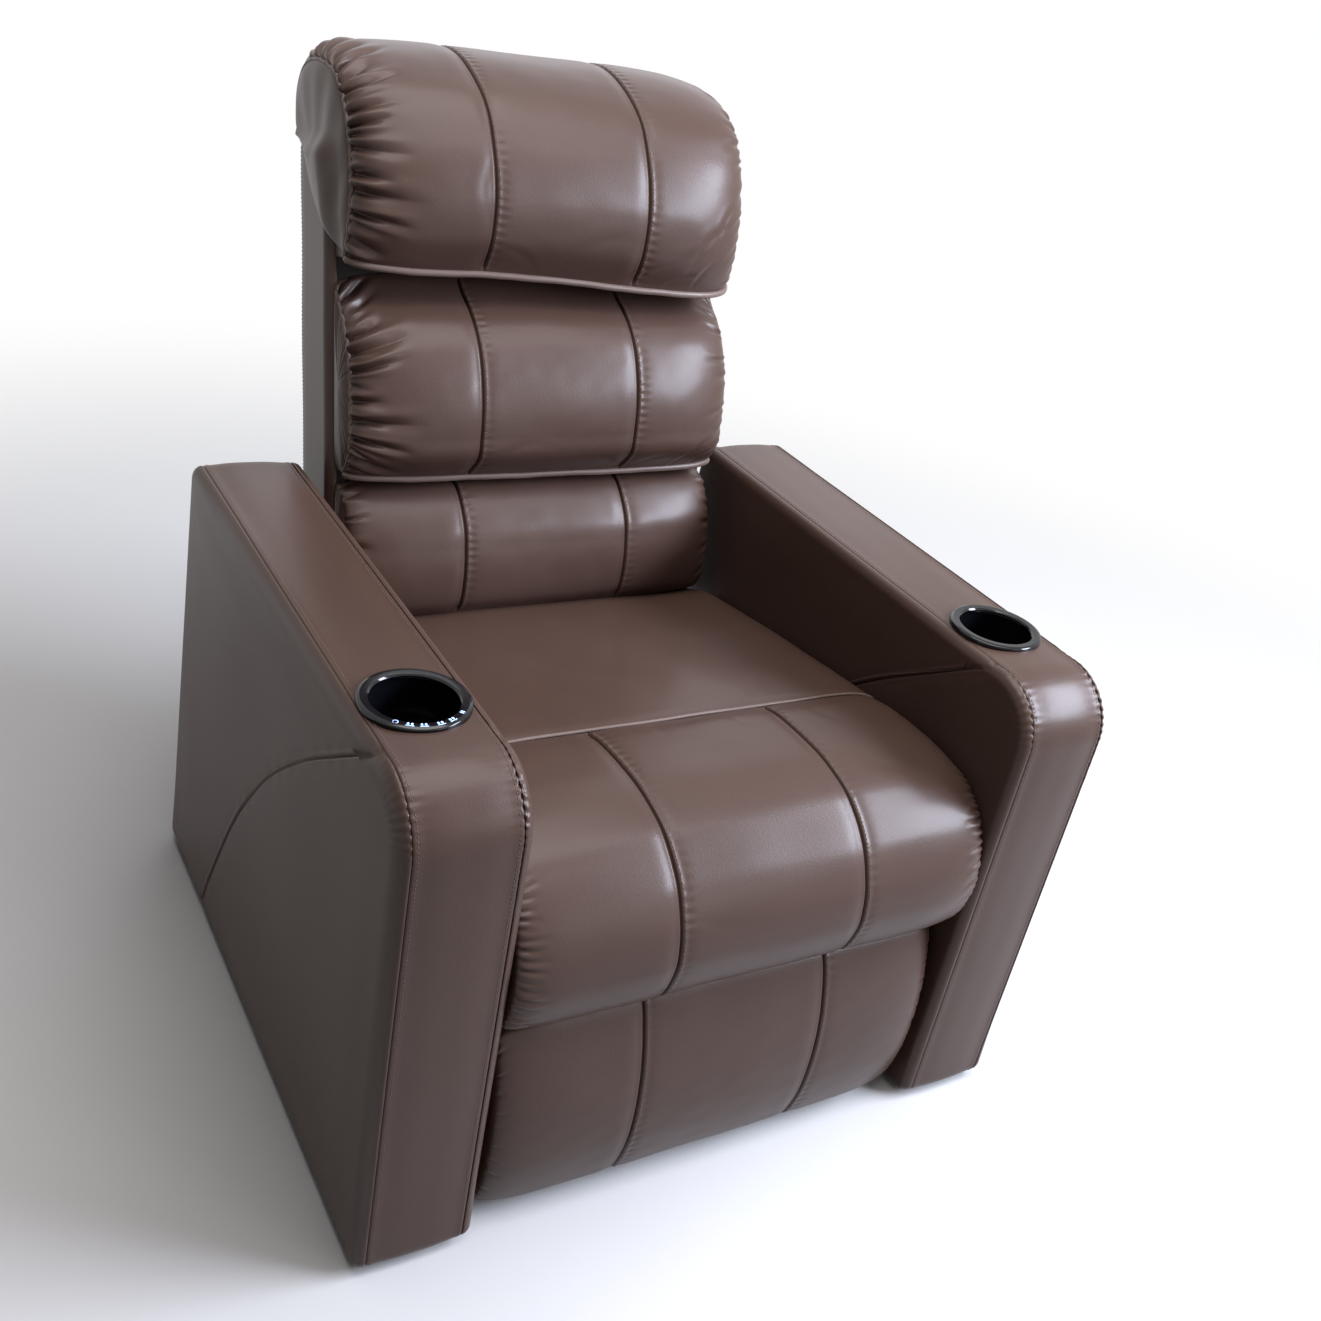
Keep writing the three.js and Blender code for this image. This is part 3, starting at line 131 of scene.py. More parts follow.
# Cushions, in the places of the back or the tray that they ride on. The shown curve is given by shares of
# the reach forwards and up from the origin, cut into rows, and the section goes back through the corners
# inside. It is carried over half the width both ways in columns, finer within ends of its two ends, with a
# sewn seam on each side. The ends are drawn in towards seated and middle by shares for front, rear, top and
# bottom. A pleat row is end, seed, start, share of the curve where it stops, count, length, width, depth as
# a share of the pleat depth, fan and lift; a start under 1 is a share of the curve too. An edge bell is
# height, place and width. A crease is place along the curve and across, heading, length, width and depth.
# Unevenness is height, wave and seed. All but the bells fade over the two lengths of fade. The ends close
# on a pole and swell by bulge. The headrest hangs, the deck has a crown, and the footrest's pleats are
# measured along the row given.
CUSHIONS = {
    "headrest": {
        "shares": [
            (-0.645, 0), (-0.9, 0.146), (-1, 0.314), (-0.966, 0.455), (-0.857, 0.582), (-0.68, 0.715),
            (-0.393, 0.825), (0.046, 0.93), (0.507, 0.99), (0.948, 1), (1.325, 0.943), (1.538, 0.823),
            (1.571, 0.669), (1.479, 0.563),
        ],
        "origin": (BACK_SKIN, 504), "reach": (103.3, 260), "rows": 380,
        "inside": [(BACK_REAR, 643), (0, 643), (BACK_SKIN, 643), (BACK_SKIN, 573.5), (BACK_SKIN, 504)],
        "half": PILLOW_HALF, "seam": 104, "columns": 212, "ends": 90, "hang": 20,
        "seated": BACK_SKIN, "middle": 643, "draw": (0.47, 0.13, 0.26, 0.08), "power": 6, "fade": (14, 16),
        "pleats": [
            ("left", 3, 12, 0.7, 15, 92, 3.7, 1.15, 0.48, 0.2),
            ("left", 4, 22, 0.66, 11, 50, 2.3, 0.5, 0.4, 0.2),
            ("right", 5, 16, 0.8, 15, 62, 2.9, 0.55, 0.5, 0),
        ],
        "edge": [],
        "folds": [
            (46, 150, 0.55, 70, 5, 0.9), (30, 120, 0.7, 55, 4, 0.8), (70, 195, 0.8, 62, 4.5, 1.0),
            (40, 205, 0.9, 50, 3.6, 1.1), (24, 170, 0.5, 48, 3.4, 0.8), (95, 222, 1.0, 46, 3.5, 0.9),
            (32, -60, -0.5, 60, 4.5, 0.5), (60, 40, 0.4, 80, 6, 0.5), (110, -120, 1.5, 60, 5, 0.5),
        ],
        "noise": [(0.8, 150, 11), (0.15, 46, 12)], "pole": (-75, 690), "bulge": 0.5,
    },
    "middle_pillow": {
        "shares": [
            (-0.52, 0), (-0.89, 0.12), (-0.975, 0.245), (-1, 0.4), (-0.953, 0.555), (-0.838, 0.7),
            (-0.663, 0.813), (-0.441, 0.9), (-0.19, 0.975), (0, 1.06),
        ],
        "origin": (BACK_SKIN, 253), "reach": (96.5, 232), "rows": 210,
        "inside": [(BACK_SKIN, 369), (BACK_SKIN, 253)],
        "half": PILLOW_HALF, "seam": 109, "columns": 220, "ends": 80,
        "seated": BACK_SKIN, "middle": 369, "draw": (0.42, 0, 0.14, 0.05), "power": 5, "fade": (12, 10),
        "pleats": [
            ("left", 13, 16, 0.93, 11, 88, 3.6, 1.08, 0.6, 0.2),
            ("left", 14, 26, 0.9, 8, 52, 2.3, 0.45, 0.5, 0),
            ("right", 15, 14, 0.9, 9, 56, 2.9, 0.5, 0.5, 0),
        ],
        "edge": [],
        "folds": [
            (30, 200, 0.9, 50, 4, 1.0), (24, 228, 1.1, 40, 3.2, 1.0), (48, 215, 0.8, 46, 4, 0.8),
            (60, -60, 0.3, 80, 6, 0.5), (34, 150, 0.4, 60, 5, 0.5),
        ],
        "noise": [(0.8, 140, 21), (0.12, 44, 22)], "pole": (-85, 369), "bulge": 8,
    },
    "lower_pillow": {
        "shares": [
            (-0.62, -0.035), (-0.855, 0.08), (-0.982, 0.28), (-1, 0.486), (-0.915, 0.694), (-0.55, 0.92),
            (-0.12, 1),
        ],
        "origin": (BACK_SKIN, 78), "reach": (73.7, 170), "rows": 150,
        "inside": [(BACK_SKIN, 248), (BACK_SKIN, 163), (BACK_SKIN, 72)],
        "half": PILLOW_HALF, "seam": 117, "columns": 210, "ends": 60,
        "seated": BACK_SKIN, "middle": 163, "draw": (0.42, 0, 0.12, 0.05), "power": 5, "fade": (12, 8),
        "pleats": [
            ("left", 23, 20, 0.95, 7, 42, 2.8, 0.5, 0.4, 0),
            ("right", 25, 20, 0.95, 7, 40, 2.8, 0.45, 0.4, 0),
        ],
        "edge": [], "folds": [],
        "noise": [(0.7, 140, 31), (0.2, 44, 32)], "pole": (-80, 163), "bulge": 6,
    },
    "seat_roll": {
        "shares": [
            (0, 0), (-0.15, 0.01), (-0.34, -0.004), (-0.53, -0.04), (-0.72, -0.118), (-0.823, -0.202),
            (-0.904, -0.3), (-0.954, -0.403), (-0.989, -0.53), (-1, -0.636), (-0.992, -0.74),
            (-0.953, -0.852), (-0.9, -0.945), (-0.83, -0.99), (-0.71, -1),
        ],
        "origin": (-0.15, 0), "reach": (239.2, 222), "rows": 240,
        "inside": [(-166.4, -222), (-166.4, -75.4), (-0.15, -75.4)],
        "half": SEAT_HALF, "seam": 119, "columns": 230, "ends": 45,
        "seated": -166.4, "middle": -75.4, "draw": (0.24, 0, 0.34, 0.06), "power": 10, "fade": (12, 14),
        "pleats": [
            ("left", 33, 0.4, 0.97, 24, 40, 2.0, 0.42, 0.2, 0),
            ("right", 35, 0.42, 0.97, 24, 36, 2.0, 0.42, 0.2, 0),
            ("left", 36, 30, 0.4, 6, 42, 3.4, 0.25, 0.2, 0),
        ],
        "edge": [(-6.5, 0, 3.4), (-0.7, 12, 12)],
        "folds": [
            (30, 60, 1.2, 60, 6, 0.45), (24, -40, 1.7, 46, 5, 0.4), (34, 170, 1.4, 60, 6, 0.5),
            (150, 180, 0.6, 80, 7, 0.4), (300, -60, 0.2, 90, 7, 0.4),
        ],
        "noise": [(1.0, 190, 41), (0.25, 60, 42)], "pole": (-150, -100), "bulge": 0.8,
    },
    "seat_deck": {
        "shares": [(0, -0.12), (0.03, 0), (0.3, 0.02), (0.6, 0.02), (0.9, 0), (0.985, -0.06), (1, -0.3)],
        "origin": (0.15, 0), "reach": (400, 75.4), "rows": 150, "inside": [(400.15, -75.4), (0.15, -75.4)],
        "half": SEAT_HALF, "columns": 130, "ends": 50,
        "seated": 0.15, "middle": -75.4, "draw": (0, 0, 0.34, 0), "power": 10, "fade": (16, 30), "crown": 2.2,
        "pleats": [], "edge": [(-1.0, 10, 8)],
        "folds": [
            (40, 130, 1.25, 70, 7, 0.6), (60, 160, 1.0, 80, 8, 0.5), (30, -150, 1.9, 50, 6, 0.5),
            (200, 190, 0.5, 90, 9, 0.5), (150, -60, 2.4, 120, 10, 0.4),
        ],
        "noise": [(1.3, 230, 51), (0.3, 70, 52)], "pole": (200, -45), "bulge": 0.5,
    },
    "footrest": {
        "shares": [
            (0.98, 0), (0.47, 0.016), (0.1, 0.22), (0, 0.45), (0.1, 0.667), (0.347, 0.853), (0.633, 0.977),
            (0.918, 1),
        ],
        "origin": (-3, 18), "reach": (49, 258), "rows": 150, "inside": [(46, 276), (46, 147), (46, 18)],
        "half": FOOTREST_HALF, "seam": 120, "columns": 210, "ends": 30, "row": 75,
        "seated": 46, "middle": 147, "draw": (0.45, 0, 0.1, 0.1), "power": 8, "fade": (10, 10),
        "pleats": [
            ("left", 43, 12, 0.95, 12, 26, 2.2, 0.25, 0.2, 0),
            ("right", 45, 12, 0.95, 12, 26, 2.2, 0.25, 0.2, 0),
        ],
        "edge": [], "folds": [],
        "noise": [(0.9, 170, 61), (0.25, 55, 62)], "pole": (30, 147), "bulge": 0.8,
    },
}


def linear(colour):
    """sRGB hex text as linear red, green, blue and alpha."""
    parts = [int(colour[i:i + 2], 16) / 255 for i in (1, 3, 5)]
    return tuple(c / 12.92 if c <= 0.04045 else ((c + 0.055) / 1.055) ** 2.4 for c in parts) + (1.0,)


# Sizes and colours that a user would change

def length(name, description, millimetres):
    return FloatProperty(name=name, description=description, default=millimetres / 1000, min=0, unit="LENGTH")


def colour(name, description, hex_value):
    return FloatVectorProperty(
        name=name, description=description, default=linear(hex_value), size=4, min=0, max=1, subtype="COLOR",
    )


class ReclinerSizes(bpy.types.PropertyGroup):
    seam_depth: length("Seam depth", "How far a sewn seam draws the cover in", 2.8)
    seam_dip: length("Seam dip", "How far the foam dips beside a seam", 1.9)
    pleat_depth: length("Pleat depth", "Depth of the gathers at a pillow's ends", 5.6)
    welt_radius: length("Welt radius", "Radius of the welt under the pillows", 4.5)
    piping_radius: length("Piping radius", "Radius of the piping round the pillow ends", 2.3)
    stitch_length: length("Stitch length", "Length of one stitch", 3.2)
    stitch_pitch: length("Stitch pitch", "Distance from one stitch to the next", 4.8)
    thread_radius: length("Thread radius", "Radius of the sewing thread", 0.45)
    arm_edge: length("Arm edge radius", "How far the padded edge of an arm side turns in", 11.4)
    arm_crown: length("Arm crown", "Rise of the padding along the middle of an arm", 2.2)


class ReclinerColours(bpy.types.PropertyGroup):
    leather: colour("Leatherette", "Main brown of the coated fabric", "#44332c")
    leather_worn: colour("Leatherette, lighter", "Paler brown where the cover is stretched", "#503d35")
    # Both piping browns are paler than the cover: a painted highlight, standing in for the light that the
    # round cords catch.
    cord_cover: colour("Piping", "Brown of the cover over piping and welts", "#62514a")
    cord_painted_highlight: colour("Piping, lighter", "Paler brown on top of piping and welts", "#7a6a62")
    thread: colour("Thread", "Sewing thread", "#5c4a41")
    plywood: colour("Plywood", "Face of the birch plywood", "#b8936a")
    zinc: colour("Zinc", "Zinc plated steel", "#a5a9ac")
    black_steel: colour("Black steel", "Powder coated steel", "#232528")
    gloss_black: colour("Gloss black", "Moulded cup holders", "#08090c")
    matt_black: colour("Matt black", "Moulded housings", "#1c1c1e")
    marks: colour("Touch marks", "Lit marks on the left cup ring", "#a9c8ff")
    lining: colour("Lining", "Dust cloth inside the back", "#1d1a19")
    floor: colour("Floor", "Pale studio floor", "#d4d3d1")
    floor_shade: colour("Floor, shade", "What the floor gives back to the seat's sides", "#86827e")


def size(name):
    """A size from the panel, in millimetres."""
    return getattr(bpy.context.scene.recliner_sizes, name) * 1000


def tint(name):
    return tuple(getattr(bpy.context.scene.recliner_colours, name))


# Places

def in_frame(points):
    """Chair millimetres to metres in the row frame."""
    return (np.asarray(points, float) + (0, FRONT_Y, 0)) / 1000


def on_tray(points):
    """(across, along, up) on the raked tray to chair places: a turn by the rake about the cross seam."""
    across, along, up = np.moveaxis(np.asarray(points, float), -1, 0)
    y = SEAT_SEAM[0] + cos(SEAT_RAKE) * along + sin(SEAT_RAKE) * up
    z = SEAT_SEAM[1] - sin(SEAT_RAKE) * along + cos(SEAT_RAKE) * up
    return np.stack([across, y, z], -1)


def on_back(points):
    """(across, through, up) of the back to chair places: a turn by the lean about the recline axis."""
    across, through, up = np.moveaxis(np.asarray(points, float), -1, 0)
    y = BACK_AXIS[0] + cos(BACK_LEAN) * through + sin(BACK_LEAN) * up
    z = BACK_AXIS[1] - sin(BACK_LEAN) * through + cos(BACK_LEAN) * up
    return np.stack([across, y, z], -1)


def upright(points):
    return np.asarray(points, float)


# Curves and steps

def smooth_line(points, count):
    """A curve through the points, each span the cubic whose end slopes are half the step between the
    neighbours, taken again at even steps of its length."""
    p = np.asarray(points, float)
    ends = np.vstack([2 * p[0] - p[1], p, 2 * p[-1] - p[-2]])
    t = np.linspace(0, 1, 40, endpoint=False)[:, None, None]
    a, b, c, d = ends[:-3], ends[1:-2], ends[2:-1], ends[3:]
    bend, twist = 2 * a - 5 * b + 4 * c - d, 3 * b - a - 3 * c + d
    spans = 0.5 * (2 * b + (c - a) * t + bend * t ** 2 + twist * t ** 3)
    line = np.vstack([np.moveaxis(spans, 0, 1).reshape(-1, p.shape[1]), p[-1:]])
    return even(line, count)


def run_of(line):
    """Length along a line up to each of its points."""
    steps = np.linalg.norm(np.diff(line, axis=0), axis=1)
    return np.concatenate([[0], np.cumsum(steps)])


def even(line, count):
    """The same line at even steps of its length."""
    run = run_of(line)
    at = np.linspace(0, run[-1], count)
    return np.stack([np.interp(at, run, line[:, k]) for k in range(line.shape[1])], -1)


def spaced(low, high, count, fine=()):
    """Places from low to high that take equal shares of the density 1 + k e^-((x - c) / w)^2, summed over
    the (c, w, k) in fine, so that they lie closer where the detail is."""
    x = np.linspace(low, high, 6001)
    density = 1 + sum((k * np.exp(-((x - c) / w) ** 2) for c, w, k in fine), np.zeros_like(x))
    total = np.concatenate([[0], np.cumsum((density[1:] + density[:-1]) / 2)])
    return np.interp(np.linspace(0, total[-1], count), total, x)


def ease(low, high, x):
    """0 below low, 1 above high, and a smooth cubic step between."""
    t = np.clip((x - low) / (high - low), 0, 1)
    return t * t * (3 - 2 * t)


def bell(x, width):
    return np.exp(-(x / width) ** 2)


def soft_noise(a, b, wave, seed):
    """Smooth unevenness from -1 to 1 over two lengths: a sum of nine sines with seeded headings."""
    draw = np.random.default_rng(seed)
    total = 0
    for _ in range(9):
        heading, phase, stretch = draw.uniform(0, 2 * pi), draw.uniform(0, 2 * pi), draw.uniform(0.6, 1.7)
        total = total + np.sin(2 * pi * (a * cos(heading) + b * sin(heading)) / (wave * stretch) + phase)
    return total / 5


# Meshes

def grid_faces(rows, columns, wrap=False):
    """The four corners of each cell of a grid of points, rows joined into a ring where wrap is set."""
    i = np.arange(rows if wrap else rows - 1)[:, None]
    j = np.arange(columns - 1)[None, :]
    here, above = i * columns + j, (i + 1) % rows * columns + j
    return np.stack([here, here + 1, above + 1, above], -1).reshape(-1, 4)


def volume(points, faces):
    """Volume that the faces close, from the triple products of their fans; it is below 0 inside out."""
    total = 0.0
    for corners in faces:
        p = points[corners]
        for k in range(1, p.shape[1] - 1):
            total += np.einsum("ij,ij->i", p[:, 0], np.cross(p[:, k], p[:, k + 1])).sum()
    return total / 6


def piece(name, points, faces, material, body, slot, place=upright):
    """A mesh piece from points in millimetres and lists of equal-sided faces, turned outwards where they
    face in. It takes the finish that it is given, and rides on a body where one is named. Its slot is
    not used."""
    points = place(points)
    faces = [np.atleast_2d(f) for f in faces if len(f)]
    if volume(points, faces) < 0:
        faces = [f[:, ::-1] for f in faces]
    mesh = bpy.data.meshes.new(name)
    mesh.from_pydata(in_frame(points).tolist(), [], [f for block in faces for f in block.tolist()])
    mesh.shade_smooth()
    mesh.materials.append(material)
    made = bpy.data.objects.new(name, mesh)
    bpy.context.scene.collection.objects.link(made)
    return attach(made, body) if body else made


def normals(grid, wrap=True):
    """Unit normals of a grid of points, from the cross product of the steps both ways."""
    if wrap:
        down = np.roll(grid, -1, 0) - np.roll(grid, 1, 0)
    else:
        down = np.gradient(grid, axis=0)
    across = np.gradient(grid, axis=1)
    n = np.cross(down, across)
    return n / np.maximum(np.linalg.norm(n, axis=-1, keepdims=True), 1e-9)


def tube(line, radius, sides=10, taper=0.0):
    """A round tube along a line: a ring of sides points about each place, square to the line, with the
    ends drawn in over the last taper millimetres and closed."""
    heading = np.gradient(line, axis=0)
    heading /= np.linalg.norm(heading, axis=1, keepdims=True)
    side = np.zeros_like(line)
    start = np.cross(heading[0], (0.3, 0.5, 0.81))
    side[0] = start / np.linalg.norm(start)
    for k in range(1, len(line)):
        turned = side[k - 1] - heading[k] * (side[k - 1] @ heading[k])
        side[k] = turned / np.linalg.norm(turned)
    up = np.cross(heading, side)
    run = run_of(line)
    thick = np.full(len(line), float(radius))
    if taper:
        reach = np.minimum(run, run[-1] - run)
        thick *= np.sqrt(np.clip(1 - (1 - np.clip(reach / taper, 0, 1)) ** 2, 0.02, 1))
    turn = np.linspace(0, 2 * pi, sides, endpoint=False)[:, None, None]
    points = line + (np.cos(turn) * side + np.sin(turn) * up) * thick[:, None]
    faces = grid_faces(sides, len(line), wrap=True)
    ring = np.arange(sides) * len(line)
    return points.reshape(-1, 3), [faces, ring[::-1][None, :], (ring + len(line) - 1)[None, :]]


def together(*parts):
    """Several (points, faces) as one."""
    points, faces, start = [], [], 0
    for p, f in parts:
        points.append(p)
        faces.extend(np.atleast_2d(block) + start for block in f if len(block))
        start += len(p)
    return np.vstack(points), faces


def stitches(line, outwards):
    """A row of stitches along a line on a surface: each is a short thread of five sides, highest at its
    middle and sunk at its ends, repeated at the stitch pitch."""
    run = run_of(line)
    count = int(run[-1] / size("stitch_pitch"))
    at = (np.arange(count) + 0.5) * run[-1] / count

    def along(values):
        return np.stack([np.interp(at, run, values[:, k]) for k in range(3)], -1)

    heading = along(np.gradient(line, axis=0))
    heading /= np.linalg.norm(heading, axis=1, keepdims=True)
    up = along(outwards)
    up -= heading * np.einsum("ij,ij->i", up, heading)[:, None]
    up /= np.linalg.norm(up, axis=1, keepdims=True)
    side = np.cross(heading, up)
    shares = np.array([-1, -0.8, 0, 0.8, 1])
    thick = size("thread_radius") * np.array([0.35, 0.85, 1, 0.85, 0.35])
    rise = size("thread_radius") * (0.5 - 1.1 * shares ** 4)
    turn = np.linspace(0, 2 * pi, 5, endpoint=False)
    t = (shares * size("stitch_length") / 2)[None, :, None]
    s = (np.cos(turn)[:, None] * thick)[:, :, None]
    u = (np.sin(turn)[:, None] * thick + rise)[:, :, None]
    start, heading, side, up = (values[:, None, None] for values in (along(line), heading, side, up))
    points = start + heading * t + side * s + up * u
    cells = grid_faces(5, 5, wrap=True)
    ring = np.arange(5) * 5
    starts = (np.arange(count) * 25)[:, None]
    faces = (cells[None] + starts[:, :, None]).reshape(-1, 4)
    return points.reshape(-1, 3), [faces, ring[::-1][None] + starts, (ring + 4)[None] + starts]


def two_skins(skin, under):
    """Two grids of the same shape, closed into one thin piece by a wall round their rims."""
    rows, columns = skin.shape[:2]
    ids = np.arange(rows * columns).reshape(rows, columns)
    rim = np.concatenate([ids[:, 0], ids[-1, 1:], ids[-2::-1, -1], ids[0, -2:0:-1]])
    wall = np.stack([rim, np.roll(rim, -1), np.roll(rim, -1) + ids.size, rim + ids.size], -1)
    flat = grid_faces(rows, columns)
    points = np.vstack([skin.reshape(-1, 3), under.reshape(-1, 3)])
    return points, [flat[:, ::-1], flat + ids.size, wall[:, ::-1]]


def carried(sections):
    """Closed sections carried along a line, the first index, and capped at its ends: (points, faces)."""
    ring = np.swapaxes(sections, 0, 1)
    rows, columns = ring.shape[:2]
    ends = np.arange(rows) * columns
    faces = [grid_faces(rows, columns, wrap=True), ends[None], (ends + columns - 1)[::-1][None]]
    return ring.reshape(-1, 3), faces


# Cushions

def section_of(shares, origin, depth, height, inside, count):
    """A cushion's closed section, as (through, up): the shown curve through the shares, then straight runs
    through the inside places back to its start. Also the run along it, and the shown curve's length."""
    shown = smooth_line(np.array(origin) + np.array(shares) * (depth, height), count)
    corners = np.vstack([shown[-1:], np.array(inside, float), shown[:1]])
    back = even_corners(corners, 10)
    loop = np.vstack([shown, back])
    run = run_of(loop)
    return loop, run, run[count - 1]


def even_corners(corners, step):
    """Straight runs through corners, cut into steps of about step, without the first and last corner."""
    parts = []
    for a, b in zip(corners[:-1], corners[1:]):
        count = max(1, int(np.linalg.norm(b - a) / step))
        parts.append(a + (b - a) * np.arange(count)[:, None] / count)
    return np.vstack(parts)[1:]


def drawn(section, across, half, seated, middle, draw, power):
    """The section carried across, drawn in towards the ends: with pull = 1 - sqrt(1 - |x / half|^power),
    its front shrinks to seated and its top and bottom to middle by the draw shares."""
    pull = 1 - np.sqrt(np.clip(1 - np.abs(across / half) ** power, 0, 1))
    through, up = section[:, :1], section[:, 1:]
    front, rear, top, bottom = draw
    sides = np.where(through < seated, front, rear)
    ends = np.where(up > middle, top, bottom)
    y = seated + (through - seated) * (1 - sides * pull)
    z = middle + (up - middle) * (1 - ends * pull)
    return np.stack([np.broadcast_to(across, y.shape), y, z], -1)


def outward(grid):
    """Normals of a ring grid, turned away from its inside."""
    n = normals(grid)
    away = grid - grid.mean(axis=(0, 1))
    return n if (n * away).sum() > 0 else -n


def seam(x, at, lift=0.7):
    """A sewn seam across a cushion: a narrow cut e^-(d / 1.4)^2, a wide dip e^-(d / 11)^2, and a low ridge
    over the folded allowance, higher on its right side, where it is stitched down."""
    d = x - at
    return (-size("seam_depth") * bell(d, 1.4) - size("seam_dip") * bell(d, 11)
            + 0.5 * lift * bell(np.abs(d) - 3.4, 2.2) + lift * bell(d - 4.2, 3.2))


def seam_puckers(run, x, at, deep=0.4):
    """Small ripples that the stitching leaves along a seam's right side: sines along the run whose pitch
    wanders about 11 mm, dying out 8 mm from the stitches."""
    d = x - at
    ripple = np.sin(2 * pi * run / 11 + 1.6 * np.sin(run / 27 + at))
    return deep * ripple * bell(d - 8.5, 6.5) * (0.6 + 0.4 * np.sin(run / 41 + 2 * at))


def twin_seams(run, x, at):
    """Relief of a cushion's two sewn seams, the same distance left and right of its middle."""
    return sum(seam(x, place) + seam_puckers(run, x, place) for place in (-at, at))


def gathers(run, reach, marks):
    """Pleats that start at a sewn end: each mark is (where along the run, slant, length, width, depth).
    A pleat is a valley whose place slides by slant times the reach, whose width grows and whose depth
    dies out over its length, with a rounded ridge on each side."""
    total = np.zeros(np.broadcast(run, reach).shape)
    for at, slant, long, width, deep in marks:
        grown = width * (1 + 1.1 * reach / long)
        off = run - at - slant * reach - 0.25 * slant * reach ** 2 / long
        fade = ease(-2, 7, reach) * (1 - ease(0.2 * long, long, reach))
        valley = np.exp(-np.abs(off / grown) ** 1.25)
        ridge = bell(off - 2.2 * grown, 1.3 * grown) + 0.7 * bell(off + 2.2 * grown, 1.3 * grown)
        total += deep * fade * (0.62 * ridge - valley)
    return total


def fold(run, across, at_run, at_across, heading, long, width, deep):
    """One soft crease: a valley of the given width along a heading, that dies out over its length."""
    a, b = across - at_across, run - at_run
    along = a * cos(heading) + b * sin(heading)
    off = -a * sin(heading) + b * cos(heading) + 0.012 * along ** 2 / max(long / 40, 1)
    return -deep * bell(along, long / 2) * (bell(off, width) - 0.55 * bell(off - 2.2 * width, 1.5 * width))


def pleat_marks(seed, low, high, count, long, width, deep, fan, lift=0.0):
    """Pleats at nearly even places from low to high, leaning away from the middle by up to fan, and all of
    them upwards by lift."""
    draw = np.random.default_rng(seed)
    at = np.linspace(low, high, count) + draw.uniform(-0.24, 0.24, count) * (high - low) / count
    lean = lift + fan * (2 * (at - low) / (high - low) - 1) + draw.uniform(-0.08, 0.08, count)
    sizes = draw.uniform(0.62, 1.2, (3, count))
    return list(zip(at, lean, long * sizes[0], width * sizes[1], deep * sizes[2]))


def end_reach(grid, row):
    """Length over the surface from the left and from the right end, along one row of the grid."""
    run = run_of(grid[row])
    return run, run[-1] - run


def finished(grid, across, pole, bulge):
    """A cushion's grid, its normals, its places across, and its closed (points, faces)."""
    return grid, outward(grid), across, closed_ends(grid, pole, bulge)


def closed_ends(grid, pole, bulge):
    """Ring grid with its two ends filled: the end rings shrink to a pole, (through, up), and swell out."""
    rings = np.array([0.02, 0.08, 0.2, 0.4, 0.65, 0.85])
    ends = []
    for column, sign in ((grid[:, 0], -1), (grid[:, -1], 1)):
        centre = np.array([column[:, 0].mean(), *pole])
        shrunk = column[:, None] + (centre - column[:, None]) * rings[None, :, None]
        shrunk[..., 0] += sign * bulge * (1 - (1 - rings) ** 3)
        ends.append((shrunk, centre + (sign * bulge, 0, 0)))
    (left, left_pole), (right, right_pole) = ends
    whole = np.concatenate([left[:, ::-1], grid, right], axis=1)
    rows, columns = whole.shape[:2]
    points = np.vstack([whole.reshape(-1, 3), left_pole, right_pole])
    ring = np.arange(rows) * columns
    last = rows * columns
    near = np.stack([np.full(rows, last), ring, np.roll(ring, -1)], -1)
    far = np.stack([np.full(rows, last + 1), np.roll(ring, -1) + columns - 1, ring + columns - 1], -1)
    return points, [grid_faces(rows, columns, wrap=True)[:, ::-1], near[:, ::-1], far[:, ::-1]]


def line_at(grid, across, x, rows):
    """The line over a grid at one place across, for some rows."""
    k = np.clip(np.searchsorted(across, x), 1, len(across) - 1)
    t = (x - across[k - 1]) / (across[k] - across[k - 1])
    return grid[rows, k - 1] * (1 - t) + grid[rows, k] * t


def seam_stitches(grid, out, across, seam_x, rows):
    """Rows of stitches to the right of both seams, over the shown rows of a cushion."""
    places = (STITCH_ASIDE - seam_x, STITCH_ASIDE + seam_x)
    lines = ((line_at(values, across, x, rows) for values in (grid, out)) for x in places)
    return together(*(stitches(line, up) for line, up in lines))


def steps_across(half, seams, count, ends=70.0):
    fine = [(s, 3.2, 14) for s in seams] + [(s, 16, 1.5) for s in seams]
    fine += [(-half, ends, 2.6), (half, ends, 1.8), (-half, 12, 5), (half, 12, 5)]
    return spaced(-half, half, count, fine)


# Back pillows

def hung(grid, most):
    """The headrest's front hangs a little lower towards its right end: places in front of the back drop by
    the most times smooth steps across, forwards and down."""
    x, through, up = grid[..., 0], grid[..., 1], grid[..., 2]
    drop = most * ease(-120, PILLOW_HALF, x) * ease(6, 50, BACK_FACE - through) * (1 - ease(520, 660, up))
    return np.stack([x, through, up - drop], -1)


